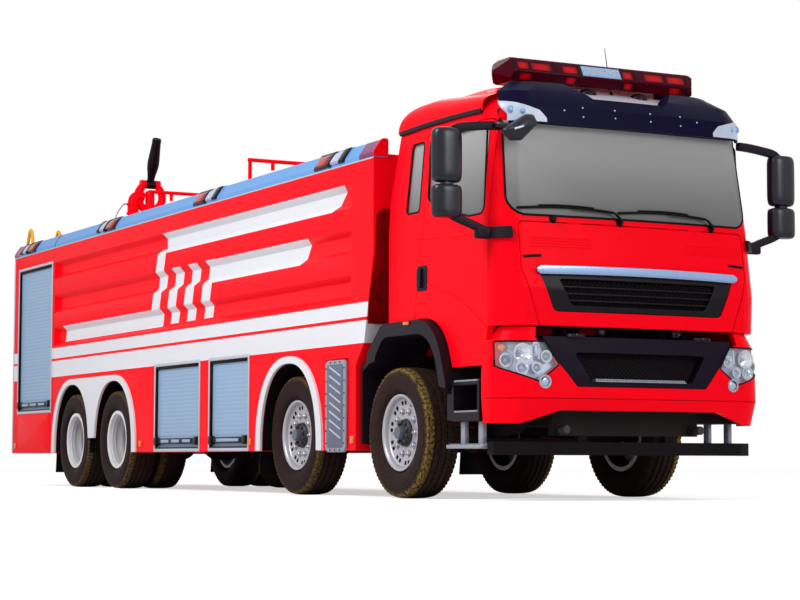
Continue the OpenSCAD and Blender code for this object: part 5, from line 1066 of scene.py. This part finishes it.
piece = makePiece("headlampCovers", bothSides([slab(lampGrid(lamp["cover"], 0.001), lampGrid(lamp["cover"] - 0.004, 0.001))]),
                  "chassis", clearLens, 30)
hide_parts("front_lamps")
makePiece("headlampBowls", bothSides([slab(lampGrid(lamp["bowl"], 0.002), lampGrid(lamp["bowl"] - 0.006, 0.002))]), "chassis",
          lampBowl, 30)
reflectors, bulbs, rings = [], [], []
# Reflectors: [s along the bumper, height, radius]
for s, z, r in ((0.995, 1.080, 0.062), (1.120, 1.030, 0.040), (1.005, 0.972, 0.040), (0.810, 1.058, 0.034),
                (0.890, 0.975, 0.030)):
    foot = bumper.at(np.array(s), np.array(z), -0.056)
    tip = bumper.at(np.array(s), np.array(z), 0.0)
    aim = np.array([0.5, 0.1, 0]) + (tip - foot) / np.linalg.norm(tip - foot)
    t = np.linspace(0.25, 1, 8)
    dishLine = np.concatenate([[[0, 0.004]], np.stack([r * t, 0.042 * t ** 2], -1),
                               [[r + 0.006, 0.042], [r + 0.006, 0.028], [0, -0.012]]])
    reflectors.append(lathe(dishLine, foot, aim, 28))
    bulbs.append(lathe([[0, 0.034], [0.010, 0.030], [0.014, 0.020], [0.014, 0.0], [0, 0.0]], foot, aim, 12))
    rings.append(lathe([[r + 0.001, 0.044], [r + 0.012, 0.044], [r + 0.012, 0.034], [r + 0.001, 0.034]], foot, aim, 28, True))
s, z, tall = lamp["strip"]
rings.append(tube(bumper.at(np.full(9, s), np.linspace(z - tall, z + tall, 9), -0.020), circle(0.009, 8), (1, 0, 0)))
foot = bumper.at(np.array(1.140), np.array(1.122), -0.044)
ambers = [lathe([[0, 0.036], [0.020, 0.031], [0.030, 0.014], [0.030, -0.006], [0, -0.006]], foot, (0.85, 0.5, 0), 20)]
makePiece("headlampReflectors", bothSides(reflectors), "chassis", chrome, 40)
makePiece("headlampBulbs", bothSides(bulbs), "chassis", paleLens, 40)
makePiece("headlampRings", bothSides(rings), "chassis", paleTrim, 40)
makePiece("headlampAmbers", bothSides(ambers), "chassis", orange, 40)
lampLine = np.concatenate([lampGrid(-0.001, 0.0)[:, 0], lampGrid(-0.001, 0.0)[::-1, -1]])
makePiece("headlampSeals", bothSides([tube(lampLine, circle(0.006, 6), (1, 0.3, 0), True)]), "chassis", seal, 50)
fogFoot = bumper.at(np.array(0.838), np.array(0.874), -0.012)
fogRing = [lathe([[0.036, 0.016], [0.050, 0.016], [0.052, 0.006], [0.050, -0.02], [0.036, -0.02]], fogFoot, (1, 0.06, 0), 32,
                 True)]
makePiece("fogLampRings", bothSides(fogRing), "chassis", galvanised, 40)
t = np.linspace(0, np.pi / 2, 7)
fogDome = np.concatenate([np.stack([0.037 * np.sin(t), 0.004 + 0.010 * np.cos(t)], -1), [[0.037, -0.03], [0, -0.03]]])
makePiece("fogLampLenses", bothSides([lathe(fogDome, fogFoot, (1, 0.06, 0), 28)]), "chassis", lampBowl, 40)

# Visor corner lamps: pale panels on the visor's curve, cut off by its leaning rear edge, with a round lens; screws in the visor
visorLamp = {"inner": 0.752, "low": 2.802, "rear": 1.488, "leanFrom": 2.850, "lean": 0.80,
             "lens": ((1.030, 2.885, 0.030), (0.945, 2.872, 0.022))}


def visorPanel(out):
    v = np.linspace(0, 1, 7)[None]
    edge = np.linspace(0, 1, 26)[:, None]
    endLow = float(visor.back(visorLamp["rear"], visorLamp["low"]))
    s = visorLamp["inner"] + (endLow - visorLamp["inner"]) * edge
    high = np.interp(s, [0.752, 0.803, 0.955, 1.09], [2.830, 2.889, 2.942, 2.964])
    z = visorLamp["low"] + (high - visorLamp["low"]) * v
    endHere = visor.back(visorLamp["rear"] - visorLamp["lean"] * np.maximum(z - visorLamp["leanFrom"], 0), z)
    return visor.at(visorLamp["inner"] + (endHere - visorLamp["inner"]) * edge, z, out)


makePiece("visorLampPanels", bothSides([slab(visorPanel(0.004), visorPanel(-0.012))]), "chassis", visorGrey, 40)


# Direction away from a nose's surface at a place on it
def outwards(nose, s, z):
    away = nose.at(np.array(s), np.array(z), 0.01) - nose.at(np.array(s), np.array(z), 0.0)
    return away / np.linalg.norm(away)


spots = [lathe([[0, 0.008], [r * 0.7, 0.006], [r, 0.0], [r, -0.008], [0, -0.008]], visor.at(np.array(s), np.array(z), 0.004),
               outwards(visor, s, z), 20)
         for s, z, r in visorLamp["lens"]]
makePiece("visorLampLenses", bothSides(spots), "chassis", blueGrid, 40)
screws = [lathe([[0, 0.003], [0.006, 0.003], [0.008, 0.0], [0.008, -0.006], [0, -0.006]],
                visor.at(np.array(s), np.array(z), 0.0), outwards(visor, s, z), 8)
          for s, z in ((0.16, 2.93), (0.44, 2.93), (0.16, 2.87), (0.44, 2.86), (0.60, 2.90))]
makePiece("visorScrews", bothSides(screws), "chassis", galvanised, 50)

# Roof light bar: dark red hood, bright red reflectors on its sloping faces with a painted glow in their middles, pale
# blue panel in the middle
barLens = {"low": 3.176, "mid": 3.251, "top": 3.361, "front": (1.165, 1.205, 1.145),
           "upper": ((-0.78, -0.68), (-0.66, -0.48), (-0.38, -0.24), (0.17, 0.26), (0.37, 0.55), (0.58, 0.75)),
           "lower": ((-0.76, -0.66), (-0.35, -0.26), (0.18, 0.26), (0.60, 0.71)),
           "belts": (-0.80, -0.44, -0.225, 0.165, 0.295, 0.775)}


def barFace(y0, y1, z0, z1, out):
    y, z = np.meshgrid(np.linspace(y0, y1, 9), np.linspace(z0, z1, 7), indexing="ij")
    x = np.interp(z, [barLens["low"], barLens["mid"], barLens["top"]], barLens["front"]) + out
    return np.stack([x, y, z], -1)


def barPatch(y0, y1, z0, z1, out, back):
    return slab(barFace(y0, y1, z0, z1, out), barFace(y0, y1, z0, z1, back))


patches = [barPatch(a, b, 3.261, 3.325, 0.003, -0.004) for a, b in barLens["upper"]]
patches += [barPatch(a, b, 3.184, 3.234, 0.003, -0.004) for a, b in barLens["lower"]]
makePiece("lightBarReflectors", patches, "chassis", glowRed, 40, [paintedGlowMiddle(9, 7)] * len(patches))
makePiece("lightBarPanel", [barPatch(-0.20, 0.15, 3.256, 3.340, 0.004, -0.004)], "chassis", blueGrid, 40)
panelGrid = [barPatch(y - 0.004, y + 0.004, 3.264, 3.332, 0.007, 0.002) for y in np.arange(-0.18, 0.14, 0.026)]
panelGrid += [barPatch(-0.19, 0.14, z - 0.003, z + 0.003, 0.007, 0.002) for z in (3.275, 3.297, 3.319)]
makePiece("lightBarGrid", panelGrid, "chassis", paleTrim, 40)
makePiece("lightBarBelts", [barPatch(y - 0.006, y + 0.006, 3.180, 3.345, 0.005, -0.002) for y in barLens["belts"]], "chassis",
          glossBlack, 40)

# Cab roof: a shell whose section is |y / wide| ^ p + (rise / tall) ^ p = 1; it falls towards the visor and rounds off at the rear
roof = {"rear": -0.085, "front": 1.270, "foot": 2.906, "wide": 1.136, "tall": (0.300, 0.185), "fallFrom": 0.30, "power": 3.5,
        "round": 0.45, "thick": 0.006}


def roofShell(inset):
    x = np.concatenate([roof["rear"] + roof["round"] * (1 - np.cos(np.linspace(0, np.pi / 2, 14))),
                        np.linspace(0.45, roof["front"], 12)])
    x = np.maximum(x, roof["rear"] + inset)[:, None]
    t = np.linspace(0, np.pi, 61)[None]
    tall = np.interp(x, [roof["fallFrom"], roof["front"]], roof["tall"]) - inset
    back = np.clip((roof["rear"] + roof["round"] - x) / roof["round"], 0, 1)
    tall = tall * (1 - back ** 6) ** (1 / 6)
    y = -np.sign(np.cos(t)) * np.abs(np.cos(t)) ** (2 / roof["power"]) * (roof["wide"] - inset)
    z = roof["foot"] + np.abs(np.sin(t)) ** (2 / roof["power"]) * tall
    return np.stack(np.broadcast_arrays(x, y, z), -1)


makePiece("cabRoofShell", [slab(roofShell(0.0), roofShell(roof["thick"]))], "chassis", paint, 40)
y, z = np.meshgrid(np.linspace(-0.56, 0.56, 20), np.linspace(3.050, 3.138, 5), indexing="ij")
makePiece("barMountPlate", [slab(cab.at(y, z, 0.014), cab.at(y, z, 0.002))], "chassis", paleTrim, 40)

# Red cover over each upper corner of the cab, beside the visor's end
z, u = np.meshgrid(np.linspace(2.835, 2.955, 5), np.linspace(0, 1, 7), indexing="ij")
s = cab.back(1.385, z) * (1 - u) + cab.back(1.468, z) * u
corner = slab(*[cab.at(s, z, out) * [1, -1, 1] for out in (0.003, -0.006)])
makePiece("cabCornerCovers", bothSides([corner]), "chassis", paint, 40)

# Round lamps and aerial on the roof behind the visor's dip
t = np.linspace(0, np.pi / 2, 8)
dome = np.concatenate([np.stack([0.075 * np.sin(t), 0.050 * np.cos(t)], -1), [[0.075, -0.03], [0, -0.03]]])
makePiece("roofLampDomes", [lathe(dome, (1.16, y, 3.115), (0, 0, 1), 28) for y in (-0.14, 0.33)], "chassis", glossBlack,
          40)
whip = np.stack([np.linspace(1.11, 1.10, 12), np.linspace(0.115, 0.062, 12), np.linspace(3.12, 3.51, 12)], -1)
aerial = [tube(whip, circle(1, 6)[None] * np.linspace(0.006, 0.0025, 12)[:, None, None], (0, 1, 0)),
          lathe([[0, 0.05], [0.010, 0.045], [0.020, 0.010], [0.022, -0.01], [0, -0.01]], (1.11, 0.115, 3.12), (0, 0, 1), 16)]
makePiece("roofAerial", aerial, "chassis", glossBlack, 50)


# Cushion: an outline shrunk towards its middle while its depth goes round a soft edge; the front face bulges
def cushion(outline, back, front, edge, bulge, place, steps=5):
    lo, hi = outline.min(0), outline.max(0)
    middle, size = (lo + hi) / 2, (hi - lo) / 2
    t = np.linspace(0, np.pi / 2, steps + 1)
    share = np.linspace(1, 0, 6)[1:]
    flat = 1 - edge / size
    shrink = np.concatenate([share[::-1, None] * flat, 1 - edge * (1 - np.sin(t))[:, None] / size,
                             1 - edge * (1 - np.cos(t))[:, None] / size, share[:, None] * flat])
    depth = np.concatenate([np.full(5, back), back + edge * (1 - np.cos(t)), front - edge * (1 - np.sin(t)),
                            front + bulge * (1 - share ** 2)])
    uv = middle + (outline - middle)[None] * shrink[:, None]
    return np.stack(place(uv[..., 0], uv[..., 1], depth[:, None] + 0 * uv[..., 0]), -1), False, True


# Pebble: a superellipsoid, |x / a| ^ plan + |y / b| ^ plan = k ^ plan with k ^ tall = 1 - |z / c| ^ tall
# The front half is deeper than the back
def pebble(centre, ahead, behind, half, high, plan=2.6, tall=7.0):
    u, v = np.linspace(0, 2 * np.pi, 48, endpoint=False)[None], np.linspace(-np.pi / 2, np.pi / 2, 33)[:, None]

    def power(value, exponent):
        return np.sign(value) * np.abs(value) ** (2 / exponent)

    k = np.abs(np.cos(v)) ** (2 / tall)
    x = k * power(np.cos(u), plan) * np.where(np.cos(u) > 0, ahead, behind)
    y = k * power(np.sin(u), plan) * half
    return np.array(centre) + np.stack([x, y, power(np.sin(v), tall) * high + 0 * u], -1), False, True


# Mirrors: two pebble heads a side with glass behind, curved arms, foot bracket round the corner
mirror = {"x": 1.404, "ahead": 0.084, "behind": 0.044, "y": 1.515, "half": 0.120, "main": (2.318, 2.722), "wide": (2.062, 2.304)}
heads, panes = [], []
for low, high in (mirror["main"], mirror["wide"]):
    heads.append(pebble((mirror["x"], -mirror["y"], (low + high) / 2), mirror["ahead"], mirror["behind"], mirror["half"],
                        (high - low) / 2))
    edges = ((-1, low + 0.025), (1, low + 0.025), (1, high - 0.025), (-1, high - 0.025))
    pane = rounded([[-mirror["y"] + a * 0.088, b, 0.030] for a, b in edges], 4)
    panes.append(plate(pane, mirror["x"] - mirror["behind"] - 0.002, mirror["x"] - 0.02, 0.002, onFront))
heads.append(roundBox((mirror["x"] - 0.03, -mirror["y"] - 0.04, 2.28), (mirror["x"] + 0.05, -mirror["y"] + 0.04, 2.34), 0.012, 3))
piece = makePiece("mirrorHeads", bothSides(heads), "chassis", mirrorBlack, 60)
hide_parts("mirrors")
makePiece("mirrorGlass", bothSides(panes), "chassis", chrome, 40)
armFlat = rounded([[-1, -0.6, 0.3], [1, -0.6, 0.3], [1, 0.6, 0.3], [-1, 0.6, 0.3]], 4)
upper = smoothPath([[1.442, -1.075, 2.765], [1.440, -1.18, 2.760], [1.434, -1.32, 2.745], [1.424, -1.43, 2.728],
                    [1.414, -1.495, 2.690]], 6)
lower = smoothPath([[1.440, -1.175, 1.968], [1.438, -1.22, 1.985], [1.432, -1.31, 2.020], [1.422, -1.41, 2.055],
                    [1.414, -1.485, 2.090]], 6)
arms = [tube(upper, armFlat * [0.032, 0.044], (1, 0, 0)), tube(lower, armFlat * [0.030, 0.040], (1, 0, 0)),
        roundBox((1.400, -1.285, 1.922), (1.460, -1.150, 2.012), 0.014, 3)]
s = np.linspace(float(cab.back(1.412, 1.96)), float(cab.along(1.055, 1.96)), 14)[:, None]
z = 1.925 + np.linspace(0, 1, 7)[None] * 0.085
arms.append(slab(*[cab.at(s + 0 * z, z + 0 * s, out) * [1, -1, 1] for out in (0.034, -0.002)]))
makePiece("mirrorArms", bothSides(arms), "chassis", blackPlastic, 40, bevel=0.006)
# Kerb mirror on the right-hand corner, on a short arm
pod = fineLine(rounded([[-1.175, 2.700, 0.02], [-1.085, 2.632, 0.03], [-1.000, 2.640, 0.03], [-0.860, 2.775, 0.03],
                        [-0.900, 2.842, 0.03], [-0.965, 2.838, 0.03]], 4), 0.03)
kerb = [cushion(pod, 1.560, 1.652, 0.044, 0.012, onFront),
        tube(smoothPath([[1.445, -1.12, 2.768], [1.50, -1.13, 2.766], [1.575, -1.06, 2.74]], 6), circle(0.022, 10), (0, 0, 1))]
makePiece("kerbMirror", kerb, "chassis", mirrorBlack, 60)
slit = rounded([[-1.082, 2.707, 0.005], [-1.004, 2.733, 0.005], [-1.008, 2.746, 0.005], [-1.086, 2.720, 0.005]], 3)
makePiece("kerbMirrorSlit", [plate(slit, 1.640, 1.6645, 0.002, onFront)], "chassis", paleTrim, 40)

# Wipers: bent arms from their pivots and long blades on the glass; a third cap stands near the right-hand corner
wiper = {"pivots": (-0.15, 0.70), "cap": -0.72}
pivotLine = [[0, 0.03], [0.020, 0.026], [0.030, 0.0], [0.030, -0.03], [0, -0.03]]
bladeLine = barSection(0.010, 0.009, 0.003, 2)
wipers = [lathe(pivotLine, cab.at(np.array(y), np.array(2.075), 0.0), (1, 0, 0.3), 16) for y in wiper["pivots"] + (wiper["cap"],)]
for y in wiper["pivots"]:
    yz = smoothPath([[y, 2.075], [y - 0.03, 2.12], [y - 0.10, 2.15], [y - 0.40, 2.165]], 8)
    wipers.append(tube(cab.at(yz[:, 0], yz[:, 1], 0.036), circle(1, 8)[None] * np.linspace(0.012, 0.007, len(yz))[:, None, None],
                       (1, 0, 0)))
    bladeY = np.linspace(y - 0.86, y - 0.06, 20)
    bladeZ = 2.150 + 0.020 * np.sin(np.linspace(0, np.pi, 20))
    wipers.append(tube(cab.at(bladeY, bladeZ, 0.014), bladeLine))
    wipers.append(tube(cab.at(bladeY[4:-4], bladeZ[4:-4] + 0.012, 0.026), circle(0.006, 6), (1, 0, 0)))
piece = makePiece("wiperArms", wipers, "chassis", seal, 40)
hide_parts("wipers")
print("cab front fitted")

# Steps: serrated treads, galvanised folding step on its hangers
steps = [roundBox((x, -1.187, z), (x + 0.011, -1.160, z + 0.014), 0.002, 1)
         for z in (0.884, 0.656) for x in np.arange(0.93, 1.29, 0.018)]
makePiece("serratedTreads", bothSides(steps), "chassis", galvanised, 40)
fold = [roundBox((0.808, -1.187, 0.388), (1.330, -0.943, 0.417), 0.005, 2)]
fold += [roundBox((x - 0.003, -1.128, 0.412), (x + 0.063, -1.092, 0.592), 0.006, 2) for x in (0.93, 1.198)]
fold += [roundBox((x, -1.17, 0.415), (x + 0.012, -0.96, 0.424), 0.002, 1) for x in np.arange(0.83, 1.31, 0.03)]
makePiece("foldingSteps", bothSides(fold), "chassis", galvanised, 40)

# Tow pins in the front beam's sockets, each with a head and a flange
tow = {"y": 0.600, "z": 0.530, "beam": 1.465}
towFoot = (tow["beam"], -tow["y"], tow["z"])
makePiece("towFlanges", bothSides([lathe([[0.0235, 0.012], [0.042, 0.012], [0.046, 0.004], [0.046, -0.003], [0.0235, -0.003]],
                                         towFoot, (1, 0, 0), 28, True)]),
          "chassis", steel, 40)
towPin = [[0, -0.04], [0.021, -0.04], [0.021, 0.035], [0.030, 0.040], [0.033, 0.050], [0.033, 0.115], [0.029, 0.122], [0, 0.122]]
makePiece("towPins", bothSides([lathe(towPin, towFoot, (1, 0, 0), 28)]), "chassis", hubGrey, 40)

# Ladder: bent rails whose hand loops lean over the roof, rungs and stays
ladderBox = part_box("ladder")
ladder = {"r": 0.020, "out": ladderBox[0][0] - axleX + 0.020, "rails": (ladderBox[0][1] + 0.020, ladderBox[1][1] - 0.020),
          "foot": ladderBox[0][2], "top": ladderBox[1][2] - 0.020, "deck": 2.780, "rungs": 7, "gap": 0.300, "wall": -10.048}
rails = []
for y in ladder["rails"]:
    out, top = ladder["out"], ladder["top"]
    bent = smoothPath([[out + 0.035, y, 2.82], [out + 0.09, y, top - 0.16], [out + 0.15, y, top - 0.045],
                       [out + 0.200, y, top], [out + 0.255, y, top - 0.045], [out + 0.285, y, top - 0.16],
                       [out + 0.300, y, ladder["deck"]]], 6)
    line = np.concatenate([smoothPath([[out, y, ladder["foot"]], [out, y, 1.6], [out, y, 2.66]], 4), bent])
    rails.append(tube(line, circle(ladder["r"], 12), (0, 1, 0)))
    for z in (ladder["foot"] + 0.14, 2.60):
        rails.append(tube([[out, y, z], [ladder["wall"], y, z]], circle(0.012, 10)))
for k in range(ladder["rungs"]):
    z = ladder["foot"] + 0.10 + ladder["gap"] * k
    rails.append(tube([[ladder["out"], ladder["rails"][0], z], [ladder["out"], ladder["rails"][1], z]], circle(0.014, 10)))
piece = makePiece("ladderTubes", rails, "chassis", yellow, 40)
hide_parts("ladder")

# Monitor: barrel that swells above its foot, fat elbow pipes beside the swivel, a bent handle tube
lift = joints["monitor_lift"]["pos_m"]
mon = np.array([lift[0] - axleX, 0, lift[2]])
aim = np.array([math.cos(math.radians(67.5)), 0, math.sin(math.radians(67.5))])
barrel = [[0, -0.02], [0.042, -0.02], [0.042, 0.05], [0.047, 0.10], [0.052, 0.13], [0.066, 0.20], [0.071, 0.26],
          [0.068, 0.32], [0.060, 0.42], [0.054, 0.50], [0.054, 0.555], [0.050, 0.568], [0.040, 0.568], [0.036, 0.52],
          [0, 0.52]]
hub = lathe([[0, -0.060], [0.052, -0.060], [0.052, 0.060], [0, 0.060]], mon, (0, 1, 0), 28)
piece = makePiece("monitorBarrelTube", [lathe(barrel, mon, aim, 32), hub], "monitor_barrel", glossBlack, 40)
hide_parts("monitor_barrel")
elbow = smoothPath([[0, -0.085, -0.16], [0, -0.150, -0.155], [0, -0.195, -0.185], [0, -0.208, -0.245], [0, -0.208, -0.36],
                    [0, -0.175, -0.43], [0, -0.08, -0.455]], 8)
collars = [lathe([[0.066, -0.012], [0.082, -0.012], [0.082, 0.012], [0.066, 0.012]], mon + [0, -0.208, h], (0, 0, 1), 28,
                 True) for h in (-0.25, -0.36)]
makePiece("monitorElbow", [tube(mon + elbow, circle(0.068, 20), (1, 0, 0))] + collars, "monitor_turret", paint, 50)
grip = smoothPath([[0, -0.26, -0.245], [0, -0.327, -0.256], [0, -0.375, -0.312], [0, -0.415, -0.378], [0, -0.43, -0.43]], 6)
makePiece("monitorGrip", [tube(mon + grip, circle(0.009, 8), (1, 0, 0))], "monitor_turret", galvanised, 50)
feet = []
for a in np.arange(0, 2 * np.pi, np.pi / 4):
    place = (mon[0] + 0.135 * math.cos(a), 0.135 * math.sin(a), 2.804)
    feet.append(lathe([[0, 0.012], [0.009, 0.012], [0.009, -0.004], [0, -0.004]], place, (0, 0, 1), 6))
makePiece("pedestalBolts", feet, "chassis", galvanised, 40)
print("roof fitted")

# Studio: pale floor that the camera sees a little brighter, white surround, one large key light and two fills
studio = {"floor": 60.0, "key": 2000.0, "fill": 620.0, "rearFill": 420.0, "world": 0.52, "glow": 0.56}
floorMaterial = finish("paleFloor", (0.80, 0.80, 0.80), 0.9, shade=0.01, grain=2, bump=0.0, specular=0.0)
tree = floorMaterial.node_tree
toCamera = Wire(tree, addNode(tree, "LightPath", {}, {}).outputs["Is Camera Ray"])
glow = mixColour(tree, toCamera, rgb((0, 0, 0)), rgb((studio["glow"],) * 3))
shader = tree.nodes["Principled BSDF"]
tree.links.new(glow.socket, shader.inputs["Emission Color"])
shader.inputs["Emission Strength"].default_value = 1.0
floorMesh = bpy.data.meshes.new("studioFloor")
half = studio["floor"]
floorMesh.from_pydata([(-half, -half, 0), (half, -half, 0), (half, half, 0), (-half, half, 0)], [], [(0, 1, 2, 3)])
floorMesh.materials.append(floorMaterial)
floor = bpy.data.objects.new("studioFloor", floorMesh)
bpy.context.scene.collection.objects.link(floor)

world = bpy.data.worlds.new("studioWorld")
bpy.context.scene.world = world
world.use_nodes = True
tree = world.node_tree
tree.nodes.clear()
rays = addNode(tree, "LightPath", {}, {})
seen = Wire(tree, rays.outputs["Is Camera Ray"]).either(Wire(tree, rays.outputs["Is Glossy Ray"])).either(
    Wire(tree, rays.outputs["Is Transmission Ray"]))
sky = addNode(tree, "Background", {}, {"Color": mixColour(tree, seen, rgb((studio["world"],) * 3), rgb((1, 1, 1))),
                                       "Strength": 1.0})
output = tree.nodes.new("ShaderNodeOutputWorld")
tree.links.new(sky.outputs[0], output.inputs[0])


def areaLight(name, place, target, size, power):
    data = bpy.data.lights.new(name, "AREA")
    data.shape, data.size, data.energy = "DISK", size, power
    made = bpy.data.objects.new(name, data)
    made.location = place
    made.rotation_euler = (Vector(target) - Vector(place)).to_track_quat("-Z", "Y").to_euler()
    bpy.context.scene.collection.objects.link(made)


areaLight("keyLight", (6, -13, 12), (0, 0, 1.5), 7, studio["key"])
areaLight("frontFill", (18, 3, 7), (4, 0, 1.8), 6, studio["fill"])
areaLight("backFill", (-12, 10, 10), (0, 0, 1.5), 7, studio["rearFill"])

# Camera fitted to the wheels and body edges
view = {"place": (14.682 + axleX, -8.772, 0.289), "yaw": 27.397, "pitch": 4.426, "roll": 0.13, "focal": 2089.8}
yaw, pitch, roll = [math.radians(view[k]) for k in ("yaw", "pitch", "roll")]
ahead = Vector((-math.cos(yaw) * math.cos(pitch), math.sin(yaw) * math.cos(pitch), math.sin(pitch)))
right = Vector((math.sin(yaw), math.cos(yaw), 0))
upward = right.cross(ahead)
camRight = right * math.cos(roll) + upward * math.sin(roll)
camUp = upward * math.cos(roll) - right * math.sin(roll)
camera = bpy.data.objects.new("photoCamera", bpy.data.cameras.new("photoCamera"))
camera.data.sensor_width, camera.data.lens = 36.0, 36.0 * view["focal"] / 800.0
camera.data.clip_end = 200
turn = Matrix((camRight, camUp, -ahead)).transposed().to_4x4()
camera.matrix_world = Matrix.Translation(Vector(view["place"])) @ turn
bpy.context.scene.collection.objects.link(camera)
bpy.context.scene.camera = camera
bpy.context.scene.view_settings.view_transform = "Standard"
print("studio and camera set")
